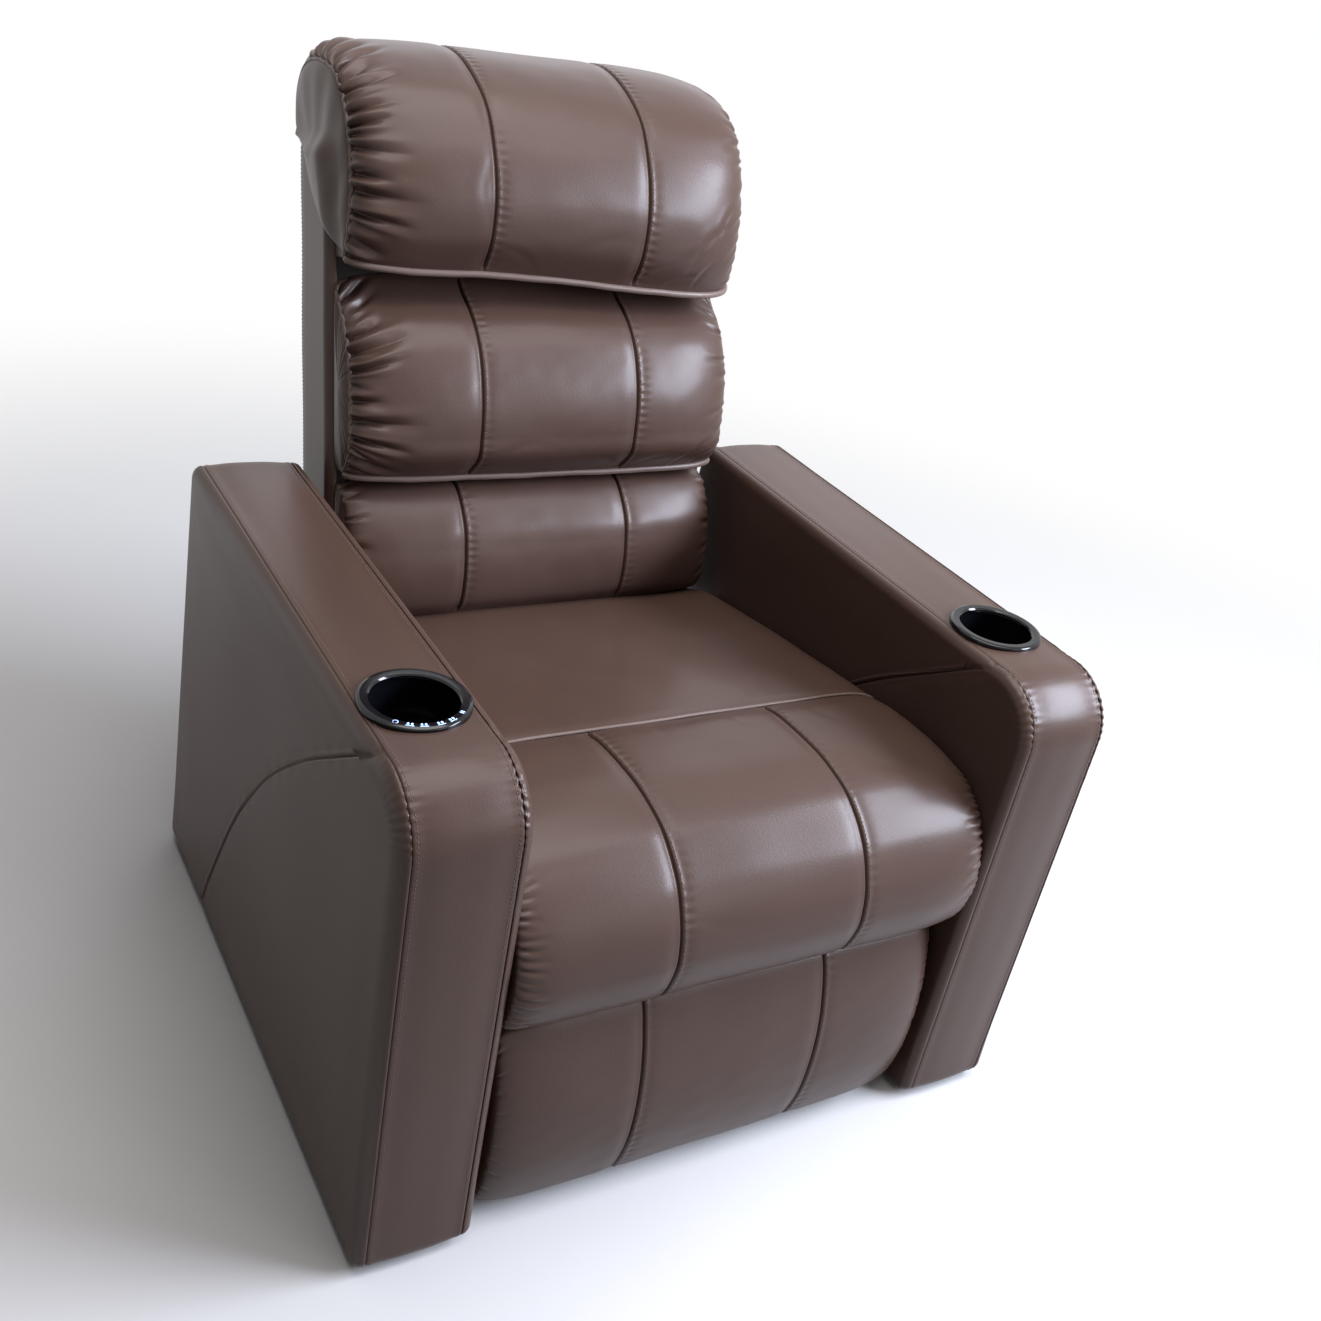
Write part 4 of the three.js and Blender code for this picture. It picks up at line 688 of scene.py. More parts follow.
def cushion(name):
    """A cushion from its settings: its grid, normals, places across and closed (points, faces). The section
    is carried across and drawn in, and each place then moves along its normal by the sum of the seams,
    pleats, edge bells, creases, unevenness and crown. The crown is a bell of 190 mm across."""
    kind = CUSHIONS[name]
    half, at = kind["half"], kind.get("seam")
    count = kind["rows"]
    section, run, shown = section_of(kind["shares"], kind["origin"], *kind["reach"], kind["inside"], count)
    across = steps_across(half, (-at, at) if at else (), kind["columns"], kind["ends"])
    grid = drawn(section, across, half, kind["seated"], kind["middle"], kind["draw"], kind["power"])
    if "hang" in kind:
        grid = hung(grid, kind["hang"])
    out = outward(grid)
    row = kind.get("row", int(np.argmin(section[:count, 0])))
    left, right = (reach[None, :] for reach in end_reach(grid, row))
    s, x = run[:, None], across[None, :]
    lead, tail = kind["fade"]
    shown_part = ease(0, lead, s) * (1 - ease(shown - tail, shown, s))
    relief = np.zeros(grid.shape[:2])
    if at:
        relief += twin_seams(s, x, at) * shown_part
    for end, seed, low, high, number, long, width, deep, fan, lift in kind["pleats"]:
        low = low if low >= 1 else low * shown
        deep = deep * size("pleat_depth")
        marks = pleat_marks(seed, low, high * shown, number, long, width, deep, fan, lift)
        relief += shown_part * gathers(s, left if end == "left" else right, marks)
    for height, place, width in kind["edge"]:
        relief += height * bell(s - place, width)
    for crease in kind["folds"]:
        relief += shown_part * fold(s, x, *crease)
    for height, wave, seed in kind["noise"]:
        relief += shown_part * height * soft_noise(x, s, wave, seed)
    relief += kind.get("crown", 0) * shown_part * bell(x, 190) * ease(20, 120, s)
    return finished(grid + out * relief[..., None], across, kind["pole"], kind["bulge"])


# Free edge of the headrest's end panels, as (through, up) of the back
END_EDGE = [(-86.2, 515), (-52, 540), (-4, 584), (26, 626), (60, 641), (90, 648)]


def end_flap(ring):
    """The headrest's padded end panel, from its piping to a free edge on the side of the back. Each point
    is a mix of a piping point and an edge point. It lies 12.6 mm further out over the back's side than at
    the piping, and swells by a half sine both ways. A second skin under it closes it."""
    side = np.sign(ring[0, 0])
    piping = smooth_line(ring[::16], 110)
    edge = smooth_line(END_EDGE, 110)
    t = np.linspace(0, 1, 30)[None, :]
    s = np.linspace(0, 1, 110)[:, None]
    through = piping[:, 1:2] * (1 - t) + edge[:, :1] * t
    up = piping[:, 2:] * (1 - t) + edge[:, 1:] * t
    over = ease(-84, -38, through) * (1 - ease(624, 658, up))
    swell = 7.5 * np.sin(pi * t ** 0.8) ** 0.7 * np.sin(pi * np.clip(s, 0.02, 0.98)) ** 0.5
    pull = np.sin(2 * pi * run_of(piping)[:, None] / 64 + 2.5 * t) * (1 - t)
    swell = swell * (1 + 0.1 * pull + 0.1 * soft_noise(through, up, 110, 15))
    x = PILLOW_HALF + 0.6 + 12.6 * over + swell
    skin = np.stack([side * x, through, up], -1)
    under = np.stack([side * (x - 1.9), through, up], -1)
    return two_skins(skin, under)


def end_piping(grid, rows, radius):
    """Piping that follows a cushion's two end edges over some rows, half sunk in them."""
    parts = []
    for column in (0, -1):
        parts.append(tube(even(grid[rows, column], 160), radius, 10, taper=4))
    return together(*parts)


def edge_welt(grid, out, radius, sink=0.2):
    """A thick welt along a pillow's lower front edge, from end to end."""
    line = grid[0] + out[0] * radius * sink
    line = even(line, 200)
    wave = np.sin(run_of(line) / 21) * 0.35 + np.sin(run_of(line) / 8.3 + 1) * 0.12
    line = line + np.stack([0 * wave, wave * 0.5, wave], -1)
    return tube(line, radius, 12, taper=5)


# Arms

def rounded_loop(corners, radii, inset, arcs, sides):
    """A clockwise polygon with rounded corners, drawn in by inset. Each corner is an arc whose centre
    stays put and whose radius shrinks by the inset, so that every point moves straight inwards."""
    c = np.array(corners, float)
    step = np.roll(c, -1, 0) - c
    step /= np.linalg.norm(step, axis=1, keepdims=True)
    inward = np.stack([step[:, 1], -step[:, 0]], -1)
    parts = []
    for k in range(len(c)):
        before, after = inward[k - 1], inward[k]
        half = np.arccos(np.clip(before @ after, -1, 1)) / 2
        centre = c[k] + (before + after) / np.linalg.norm(before + after) * radii[k] / cos(half)
        a, b = np.arctan2(-before[1], -before[0]), np.arctan2(-after[1], -after[0])
        b = a - (a - b) % (2 * pi)
        turn = np.linspace(a, b, arcs[k])
        arc = centre + (radii[k] - inset) * np.stack([np.cos(turn), np.sin(turn)], -1)
        parts.append(arc)
    loop = []
    for k, arc in enumerate(parts):
        following = parts[(k + 1) % len(parts)][0]
        t = (np.arange(1, sides[k]) / sides[k])[:, None]
        loop += [arc, arc[-1] + (following - arc[-1]) * t]
    return np.vstack(loop)


def loop_and_move(corners, radii, arcs, sides):
    """A fine rounded loop, how each of its points moves for a millimetre of inset, and the indices of its
    points up to the last side."""
    outer = rounded_loop(corners, radii, 0, arcs, sides)
    move = rounded_loop(corners, radii, 1, arcs, sides) - outer
    return outer, move, np.arange(sum(arcs) + sum(count - 1 for count in sides[:-1]))


def nearest(path, along, at):
    """The indices in a path that come next at some lengths along it."""
    return path[np.searchsorted(along, at).clip(0, len(path) - 1)]


def arm_edge():
    """The arm's side view as a loop that starts at the front foot."""
    corners = [(0, ARM_BASE), (0, ARM_TOP), (ARM_TOP_DEPTH, ARM_TOP), (ARM_REAR, ARM_BASE)]
    return loop_and_move(corners, [14, ARM_CORNER, 20, 14], [40, 160, 40, 40], [500, 620, 560, 640])


def front_corner(outer):
    """Which of some points of the arm's side view lies in its front corner, where depth less height is
    nearest to 0.95 of the arm's height below 0."""
    return int(np.argmin(np.abs(outer @ (1, -1) + 0.95 * ARM_TOP)))


def seam_distance(points, line):
    """Shortest distance from each point to a line of short steps: the nearest of every twelfth place on
    the line, and then of the places round that one."""
    flat = points.reshape(-1, 2)
    coarse = line[::12]
    first = np.argmin(((flat[:, None] - coarse[None]) ** 2).sum(-1), axis=1)
    near = np.clip(first[:, None] * 12 + np.arange(-12, 13), 0, len(line) - 1)
    return np.sqrt(((flat[:, None] - line[near]) ** 2).sum(-1).min(axis=1)).reshape(points.shape[:-1])


def corner_puckers(run, corner_run, from_seam, seed):
    """Small puckers where a cover is eased round the arm's front corner: ripples across the seam that die
    out away from it and away from the corner."""
    window = bell(run - corner_run, 72)
    ripple = np.sin(2 * pi * run / 9.5 + 1.4 * np.sin(run / 23 + seed))
    return window * ripple * (0.65 + 0.35 * np.sin(run / 17 + 2 * seed)) * np.exp(-from_seam / 6)


def arm_side(face, seam_x):
    """One padded side of an arm. Its face is a grid between the curved seam and the arm's edge: each
    point is a mix of a seam point and an edge point. Quarter rings round the edge follow, then the lip
    that goes down into the top seam, and a flat back. The seam is a cut by distance from its line."""
    outer, move, _ = arm_edge()
    side = 1 if face > seam_x else -1
    radius = size("arm_edge")
    reach = edge_reach(outer, 16 if side > 0 else 3)
    edge = outer + move * reach[:, None]
    line = smooth_line(ARM_SIDE_SEAM, 3000)
    inside_edge = (line[:, 1] < ARM_TOP - 26.01) & (line[:, 1] > ARM_BASE + 10.01)
    face_line = line[inside_edge]
    top = int(np.argmin(np.linalg.norm(edge - face_line[0], axis=1)))
    foot = int(np.argmin(np.linalg.norm(edge - face_line[-1], axis=1)))
    total = len(edge)
    front_path = np.arange(top, foot - total, -1) % total
    rear_path = np.arange(top, foot + 1) % total
    count = 280
    run = run_of(outer[front_path])
    corner = run[front_corner(outer[front_path])]
    picks = []
    for path, fine in ((front_path, [(corner, 70, 3.2), (corner + 700, 16, 6)]), (rear_path, [])):
        along = run_of(outer[path])
        bends = [(along[k], 12, 5) for k in range(1, len(path) - 1, 5)
                 if np.linalg.norm(move[path[k]] - move[path[k - 1]]) > 0.02]
        at = spaced(0, along[-1], count, fine + bends[:30])
        picks.append(nearest(path, along, at))
    front, rear = picks
    middle = even(face_line, count)
    middle[0], middle[-1] = edge[top], edge[foot]
    t = np.linspace(0, 1, 42)
    share = 0.09 * t + 0.91 * t ** 2.6
    middle, mix = middle[:, None], share[None, 1:, None]
    ahead, behind = (middle + (edge[path][:, None] - middle) * mix for path in (front, rear))
    flat = np.concatenate([ahead[:, ::-1], middle, behind], axis=1)
    columns = flat.shape[1]
    distance = seam_distance(flat, line)
    sign = np.sign(np.arange(columns) - columns // 2)
    edge_gap = seam_distance(flat, edge[::6])
    relief = side_relief(distance, sign) + 1.1 * ease(4, 60, edge_gap)
    relief += 0.9 * soft_noise(flat[..., 0], flat[..., 1], 260, 71) * ease(0, 50, edge_gap)
    relief += 0.35 * bell(distance - 6, 8) * np.sin(flat[..., 0] / 7.5 + np.sin(flat[..., 1] / 19) * 2) * 0.5
    points = np.concatenate([(face + side * relief)[..., None], flat], axis=-1)

    loop = np.concatenate([front[::-1][:-1], rear[:-1]])
    down = np.arange(count) * columns
    loop_points = np.concatenate([down[::-1][:-1], (down + columns - 1)[:-1]])
    loop_sign = np.concatenate([-np.ones(count - 1), np.ones(count - 1)])
    loop_run = run_of(outer[loop])
    bend = loop_run[front_corner(outer[loop])]
    turns = np.linspace(0, pi / 2, 10)[1:]
    rings = []
    for turn in turns:
        inset = reach[loop] * (1 - sin(turn))
        x = face - side * radius * (1 - cos(turn))
        ring = outer[loop] + move[loop] * inset[:, None]
        near = seam_distance(ring, line)
        from_seam = abs(x - seam_x)
        cut = side_relief(near, loop_sign) + 2.1 * corner_puckers(loop_run, bend, from_seam, 1.0)
        lift = np.stack([side * cut * cos(turn), *(-move[loop] * (cut * sin(turn))[:, None]).T], -1)
        rings.append(np.concatenate([np.full((len(loop), 1), x), ring], axis=1) + lift)
    for gap, inset in ((0.35, 0.2), (0.15, 0.8), (0.05, 2.4)):
        x = np.full((len(loop), 1), seam_x + side * gap)
        rings.append(np.concatenate([x, outer[loop] + move[loop] * inset], axis=1))
    start = points.shape[0] * columns
    number = len(loop)
    ids = np.vstack([loop_points, start + np.arange(len(rings) * number).reshape(len(rings), number)])
    following = np.roll(ids, -1, axis=1)
    walls = np.stack([ids[:-1], following[:-1], following[1:], ids[1:]], -1).reshape(-1, 4)
    centre = np.array([seam_x + side * 0.15, ARM_REAR / 2, ARM_TOP / 2])
    everything = np.vstack([points.reshape(-1, 3), *rings, centre])
    back = np.stack([np.full(number, len(everything) - 1), ids[-1], following[-1]], -1)
    stitch_row = columns // 2 + int(np.searchsorted(share * 300, 4.4))
    # The grid's two ends are single places, so its cells there have to be merged by distance.
    return everything, [grid_faces(count, columns), walls, back], points, stitch_row, side


def edge_reach(outer, wide):
    """How far the padded edge of an arm side reaches over the side, in the side view: 10 mm, and wide more
    along the front and the top."""
    y, z = outer[:, 0], outer[:, 1]
    high, behind = ease(25, 110, z), ease(590, 700, y)
    return 10 + wide * high * (1 - 0.75 * behind)


def side_relief(distance, sign):
    """Relief of the curved side seam: a cut, a wide soft dip, and a raised allowance behind it."""
    return (-2.2 * bell(distance, 1.2) - 0.9 * bell(distance, 9)
            + 0.8 * bell(distance - 3.6, 2.4) * (sign > 0) + 0.25 * bell(distance - 3.6, 2.4) * (sign <= 0))


def arm_band():
    """The top band of an arm: a closed section carried from the front foot over the front corner and the
    top down to the rear foot. Its outer side is crowned and dips into the seams at both edges."""
    outer, move, path = arm_edge()
    along = run_of(outer[path])
    corner = along[front_corner(outer[path])]
    bends = [(along[20], 10, 5), (along[1200], 10, 4), (along[-20], 10, 5), (corner, 75, 2.2)]
    at = spaced(0, along[-1], 340, bends)
    picked = nearest(path, along, at)
    base, inward, run = outer[picked], move[picked], run_of(outer[picked])
    low, high = BAND_INSIDE + 0.05, BAND_OUTSIDE - 0.05
    mid, half = (low + high) / 2, (high - low) / 2
    across = spaced(low, high, 64, [(low, 5, 9), (high, 5, 9), (low + 5, 3, 2), (high - 5, 3, 2)])
    edge = half - np.abs(across - mid)
    depth = 1.3 * np.exp(-edge / 0.8) - size("arm_crown") * (1 - (1 - ease(0, half, edge)) ** 2)
    depth = depth - 0.3 * bell(edge - 2.8, 1.8) - 0.2 * bell(edge - 6.5, 2.5)
    bend = run[np.argmin(np.abs(at - corner))]
    shape = depth[None, :] - 1.6 * corner_puckers(run[:, None], bend, edge[None, :], 2.0)
    shape = shape + 0.5 * soft_noise(across[None, :], run[:, None], 210, 81) * ease(0, 25, edge)[None, :]

    def laid(x, deep):
        flat = base[:, None] + inward[:, None] * deep[..., None]
        return np.concatenate([np.broadcast_to(x[None, :, None], (*flat.shape[:2], 1)), flat], axis=-1)

    skin = laid(across, shape)
    under_depth = np.array([8.0, 13.6, 13.6, 13.6, 13.6, 13.6, 8.0])
    under = laid(np.array([high, high, mid + half / 2, mid, mid - half / 2, low, low]), under_depth[None, :])
    return carried(np.concatenate([skin, under], axis=1)), skin, across


def with_hole(made, centre, radius, low, high):
    """Cuts an upright round hole through a piece, and keeps the result as its mesh."""
    turn = np.linspace(0, 2 * pi, 96, endpoint=False)
    ring = np.stack([centre[0] + radius * np.cos(turn), centre[1] + radius * np.sin(turn), 0 * turn], -1)
    points = in_frame(np.vstack([ring + (0, 0, low), ring + (0, 0, high)]))
    k = np.arange(96)
    sides = np.stack([k, np.roll(k, -1), np.roll(k, -1) + 96, k + 96], -1)
    mesh = bpy.data.meshes.new("cup_drill")
    mesh.from_pydata(points.tolist(), [], sides.tolist() + [k[::-1].tolist(), (k + 96).tolist()])
    drill = bpy.data.objects.new("cup_drill", mesh)
    bpy.context.scene.collection.objects.link(drill)
    cut = made.modifiers.new("cup hole", "BOOLEAN")
    cut.operation, cut.object, cut.solver = "DIFFERENCE", drill, "EXACT"
    bpy.context.view_layer.update()
    result = bpy.data.meshes.new_from_object(made.evaluated_get(bpy.context.evaluated_depsgraph_get()))
    made.modifiers.clear()
    old, made.data = made.data, result
    name = old.name
    bpy.data.meshes.remove(old)
    result.name = name
    bpy.data.objects.remove(drill)
    bpy.data.meshes.remove(mesh)


# Turned and small parts

def lathe(profile, centre, steps):
    """A closed profile of (radius, height) turned about an upright axis: a ring of steps places for each
    profile point, and a single pole where the profile's ends meet the axis."""
    profile = np.array(profile, float)
    capped = profile[0, 0] < 1e-6
    body = profile[1:-1] if capped else profile
    turn = np.linspace(0, 2 * pi, steps, endpoint=False)[:, None]
    radius, height = body.T
    points = np.stack(np.broadcast_arrays(radius * np.cos(turn), radius * np.sin(turn), height), -1)
    count = len(body)
    faces = [grid_faces(steps, count, wrap=True)]
    points = points.reshape(-1, 3)
    ring = np.arange(steps) * count
    following = np.roll(ring, -1)
    if capped:
        points = np.vstack([points, (0, 0, profile[0, 1]), (0, 0, profile[-1, 1])])
        first, last = len(points) - 2, len(points) - 1
        faces.append(np.stack([np.full(steps, first), following, ring], -1))
        faces.append(np.stack([np.full(steps, last), ring + count - 1, following + count - 1], -1))
    else:
        faces.append(np.stack([ring + count - 1, following + count - 1, following, ring], -1))
    return points + np.array(centre), faces


def soft_corner(profile, radii, steps=6):
    """A profile whose corners are rounded by the radii given, each as an arc between its two tangents."""
    p = np.array(profile, float)
    line = []
    for k, point in enumerate(p):
        if radii[k] == 0:
            line.append(point[None])
            continue
        a, b = p[k - 1] - point, p[(k + 1) % len(p)] - point
        a, b = a / np.linalg.norm(a), b / np.linalg.norm(b)
        half = np.arccos(np.clip(a @ b, -1, 1)) / 2
        centre = point + (a + b) / np.linalg.norm(a + b) * radii[k] / np.sin(half)
        start = point + a * radii[k] / np.tan(half) - centre
        finish = point + b * radii[k] / np.tan(half) - centre
        t = np.linspace(0, 1, steps)[:, None]
        mix = start * (1 - t) + finish * t
        line.append(centre + mix / np.linalg.norm(mix, axis=1, keepdims=True) * radii[k])
    return np.vstack(line)


def cup_well():
    """Cup holder: a thin cup with a rounded floor and a flange."""
    corners = [(0, -80), (47.5, -80), (47.5, 0), (53, 0), (53, 1.6), (45, 1.6), (45, -77.5), (0, -77.5)]
    return soft_corner(corners, [0, 6, 0.8, 0.3, 0.5, 1.2, 4.5, 0])


def cup_ring():
    """Ring over the flange: a rounded outer edge, a flat face and a slope down to the cup."""
    corners = [
        (CUP_RIM_RADIUS - 2, 0), (CUP_RIM_RADIUS - 2, CUP_RIM_HEIGHT - 0.6), (51.4, CUP_RIM_HEIGHT + 0.6),
        (44.6, CUP_RIM_HEIGHT + 0.2), (42.8, CUP_RIM_HEIGHT - 1.8), (43.2, 1.9), (53.3, 1.9), (53.3, 0),
    ]
    return soft_corner(corners, [0.4, 2.0, 0.8, 1.0, 0.8, 0.2, 0.2, 0.2])


def bar(centre, heading, long, wide, thick):
    """A flat bar lying on the ring: its outline is a stadium, drawn in a little at the top."""
    turn = np.concatenate([np.linspace(-pi / 2, pi / 2, 7), np.linspace(pi / 2, 3 * pi / 2, 7)])
    ends = np.repeat([1, -1], 7) * (long - wide) / 2
    outline = np.stack([ends + wide / 2 * np.cos(turn), wide / 2 * np.sin(turn)], -1)
    turned = outline @ np.array([[cos(heading), sin(heading)], [-sin(heading), cos(heading)]])
    low = np.concatenate([turned, np.zeros((14, 1))], 1)
    high = np.concatenate([turned * 0.92, np.full((14, 1), thick)], 1)
    k = np.arange(14)
    sides = np.stack([k, np.roll(k, -1), np.roll(k, -1) + 14, k + 14], -1)
    return np.vstack([low, high]) + np.array(centre), [sides, k[::-1][None], (k + 14)[None]]


def touch_marks(x, y, z):
    """Generic lit marks on the ring's front half: a small ring, four pairs of bars with a line under them,
    and two bars, all laid along the ring."""
    centre, middle = np.array([x, y, z]), 48.2

    def laid(angle, outwards, aside, turned, *sizes):
        spin = radians(angle)
        radial, around = np.array([cos(spin), sin(spin), 0]), np.array([-sin(spin), cos(spin), 0])
        return bar(centre + radial * (middle + outwards) + around * aside, spin + turned, *sizes, 0.35)

    spin = radians(-132.4)
    profile = [(2.25, 0), (2.75, 0), (2.75, 0.25), (2.25, 0.25)]
    parts = [lathe(profile, (x + middle * cos(spin), y + middle * sin(spin), z), 28)]
    for angle in (-116.3, -101.0, -81.9, -66.0):
        parts += [laid(angle, -1.0, aside, 0, 3.3, 2.2) for aside in (-1.9, 1.9)]
        parts.append(laid(angle, 2.1, 0, pi / 2, 9.0, 1.0))
    parts += [laid(-45.8, 0, aside, 0, 4.8, 1.2) for aside in (-1.3, 1.3)]
    return together(*parts)


# Back shell

def back_shell():
    """Back cover: a padded wall round the sides and rear of the back, seen from above as a U. Its closed
    section, thickness by height, is carried round the U, with rounded front, top and bottom edges."""
    corners = [
        (-BACK_HALF, BACK_FACE), (-BACK_HALF, BACK_REAR), (BACK_HALF, BACK_REAR), (BACK_HALF, BACK_FACE),
    ]
    radii, arcs, sides = [13.4, 24, 24, 13.4], [40, 60, 60, 40], [120, 500, 120, 20]
    outer, move, path = loop_and_move(corners, radii, arcs, sides)
    along = run_of(outer[path])
    fine = [(along[20], 12, 6), (along[190], 24, 3), (along[-190], 24, 3), (along[-20], 12, 6)]
    seams = (along[172], along[-172])
    fine += [(s, 4, 14) for s in seams]
    picked = nearest(path, along, spaced(0, along[-1], 260, fine))
    base, inward, run = outer[picked], move[picked], run_of(outer[picked])
    up = spaced(BACK_FOOT + 1, BACK_HEAD - 1, 70, [(BACK_FOOT, 8, 8), (BACK_HEAD, 8, 8)])
    gap = np.minimum(up - BACK_FOOT, BACK_HEAD - up)
    depth = 5.5 * (1 - np.sqrt(np.clip(1 - (1 - np.clip(gap / 6, 0, 1)) ** 2, 0, 1)))
    shape = depth[None, :] - 0.9 * soft_noise(run[:, None], up[None, :], 260, 91) * ease(0, 60, gap)[None, :]
    for at in seams:
        shape = shape + 2.4 * bell(run - at, 2.0)[:, None] + 1.2 * bell(run - at, 12)[:, None]
    skin = np.stack([
        base[:, None, 0] + inward[:, None, 0] * shape,
        base[:, None, 1] + inward[:, None, 1] * shape,
        np.broadcast_to(up[None, :], shape.shape),
    ], -1)
    under = []
    for depth_in, height in (
        (7, BACK_HEAD), (13, BACK_HEAD - 0.5), (13, 340), (13, BACK_FOOT + 0.5), (7, BACK_FOOT),
    ):
        flat = base + inward * depth_in
        under.append(np.concatenate([flat, np.full((len(run), 1), float(height))], 1)[:, None])
    return carried(np.concatenate([skin, *under], axis=1)), skin, run, seams


def board_cloth(half, low, high, plane, thick):
    """A thin cloth stretched over an upright frame: a grid on each side, sagging a little at its middle,
    joined round its edge."""
    x, u = np.linspace(-half, half, 28), np.linspace(low, high, 30)
    a, b = np.meshgrid(x, u, indexing="ij")
    sag = 1.2 * (1 - (a / half) ** 2) * np.sin(pi * (b - low) / (high - low))
    front = np.stack([a, plane + sag * 0.4, b], -1)
    return two_skins(front, front + (0, thick, 0))


# The slack loop behind the seat: half its width, and its near edge, far edge, their height and its drop
FLAP_HALF = 248
FLAP_LOOP = (637.3, 654.2, 418.0, 26.0)


def back_flap(half, thick):
    """Slack loop of cover between the seat deck's rear edge and the back: half an ellipse below the two
    edges, uneven by small sines across, with a second skin inside it."""
    near, far, top, drop = FLAP_LOOP
    turn = np.linspace(0, pi, 30)[None, :]
    x = np.linspace(-half, half, 80)[:, None]
    wave = (0.9 * np.sin(x / 37) + 0.5 * np.sin(x / 16 + 1)) * np.sin(turn)
    middle, reach = (near + far) / 2, (far - near) / 2
    skins = []
    for inset in (0, thick):
        y = middle - (reach - inset) * np.cos(turn)
        z = top - (drop - inset) * np.sin(turn) + wave
        skins.append(np.stack([np.broadcast_to(x, z.shape), np.broadcast_to(y, z.shape), z], -1))
    return two_skins(*skins)


# Materials

def add(tree, kind, inputs=None, **settings):
    """A new node with its settings, and its inputs either set or linked from another node's socket."""
    made = tree.nodes.new(kind)
    for key, value in settings.items():
        setattr(made, key, value)
    for key, value in (inputs or {}).items():
        if isinstance(value, bpy.types.NodeSocket):
            tree.links.new(value, made.inputs[key])
        else:
            made.inputs[key].default_value = value
    return made


def new_material(name):
    """A material with an empty node tree. Also the tree, and the piece's own places in metres."""
    material = bpy.data.materials.new(name)
    material.use_nodes = True
    tree = material.node_tree
    tree.nodes.clear()
    return material, tree, add(tree, "ShaderNodeTexCoord").outputs["Object"]


def surface(tree, inputs):
    """Closes a tree with a Principled shader that has these inputs."""
    shader = add(tree, "ShaderNodeBsdfPrincipled", inputs)
    add(tree, "ShaderNodeOutputMaterial", {"Surface": shader.outputs[0]})


def noise(tree, place, scale, detail=2.0, roughness=0.5):
    inputs = {"Vector": place, "Scale": scale, "Detail": detail, "Roughness": roughness}
    return add(tree, "ShaderNodeTexNoise", inputs).outputs["Fac"]


def cells(tree, place, scale, randomness=1.0):
    inputs = {"Vector": place, "Scale": scale, "Randomness": randomness}
    return add(tree, "ShaderNodeTexVoronoi", inputs, feature="SMOOTH_F1").outputs["Distance"]


def waves(tree, place, axis, scale, distortion=0.0, detail=2.0):
    inputs = {"Vector": place, "Scale": scale, "Distortion": distortion, "Detail": detail}
    return add(tree, "ShaderNodeTexWave", inputs, bands_direction=axis).outputs["Fac"]


def combined(tree, operation, first, second, **settings):
    return add(tree, "ShaderNodeMath", {0: first, 1: second}, operation=operation, **settings).outputs[0]


def bump(tree, height, strength, distance, **settings):
    inputs = {"Strength": strength, "Distance": distance, "Height": height}
    return add(tree, "ShaderNodeBump", inputs, **settings).outputs["Normal"]


def ranged(tree, value, low, high):
    return add(tree, "ShaderNodeMapRange", {"Value": value, "To Min": low, "To Max": high}).outputs["Result"]


def blended(tree, share, first, second):
    """Two colours mixed by a share."""
    mix = add(tree, "ShaderNodeMix", {"Factor": share}, data_type="RGBA")
    mix.inputs["A"].default_value = first
    mix.inputs["B"].default_value = second
    return mix.outputs["Result"]


def shaded(tree, share, name, factor):
    """A panel colour, mixed by a share with itself times a factor."""
    return blended(tree, share, tint(name), tuple(c * factor for c in tint(name)[:3]) + (1,))


def leatherette(name="brown_pu_leatherette", main="leather", stretched="leather_worn"):
    # PU-coated fabric, embossed with a pebble grain of about 1.6 mm: a satin brown whose grain breaks up
    # the highlights, with slow drifts in tone where the foam stretches it.
    material, tree, place = new_material(name)
    fibre = noise(tree, place, 380.0, 4.0, 0.6)
    tone = ranged(tree, noise(tree, place, 7.0, 3.0), 0.1, 0.9)
    speck = combined(tree, "ADD", tone, ranged(tree, fibre, -0.25, 0.25), use_clamp=True)
    grain = combined(tree, "MULTIPLY", cells(tree, place, 620.0, 0.9), fibre)
    # For the piping and welts both browns are paler than the cover: a painted highlight.
    surface(tree, {
        "Base Color": blended(tree, speck, tint(main), tint(stretched)),
        "Roughness": ranged(tree, fibre, 0.33, 0.42), "IOR": 1.5, "Specular IOR Level": 0.22,
        "Normal": bump(tree, grain, 0.35, 0.0005, invert=True), "Coat Weight": 0.08, "Coat Roughness": 0.2,
    })
    return material


def cord_leatherette():
    # The same cover over piping cord and welts, in paler browns: a painted highlight for the light that the
    # round cords catch, so a paler line along the cushions' edges.
    return leatherette("stretched_pu_leatherette", "cord_cover", "cord_painted_highlight")


def plain(name, panel_colour, factor, spots, roughness, relief=None, **more):
    """A finish of one noise, given as (scale, detail): a panel colour that runs to itself times a factor, a
    range of roughness, a relief of (strength, distance), and further inputs."""
    material, tree, place = new_material(name)
    spots = noise(tree, place, *spots)
    inputs = {"Base Color": shaded(tree, spots, panel_colour, factor), **more}
    inputs["Roughness"] = ranged(tree, spots, *roughness) if isinstance(roughness, tuple) else roughness
    if relief:
        inputs["Normal"] = bump(tree, spots, *relief)
    surface(tree, inputs)
    return material


def thread():
    # Bonded polyester thread, twisted: a slightly paler, fuzzier line than the cover.
    return plain("polyester_thread", "thread", 1.35, (900.0, 2.0), 0.6, (0.3, 0.0002))


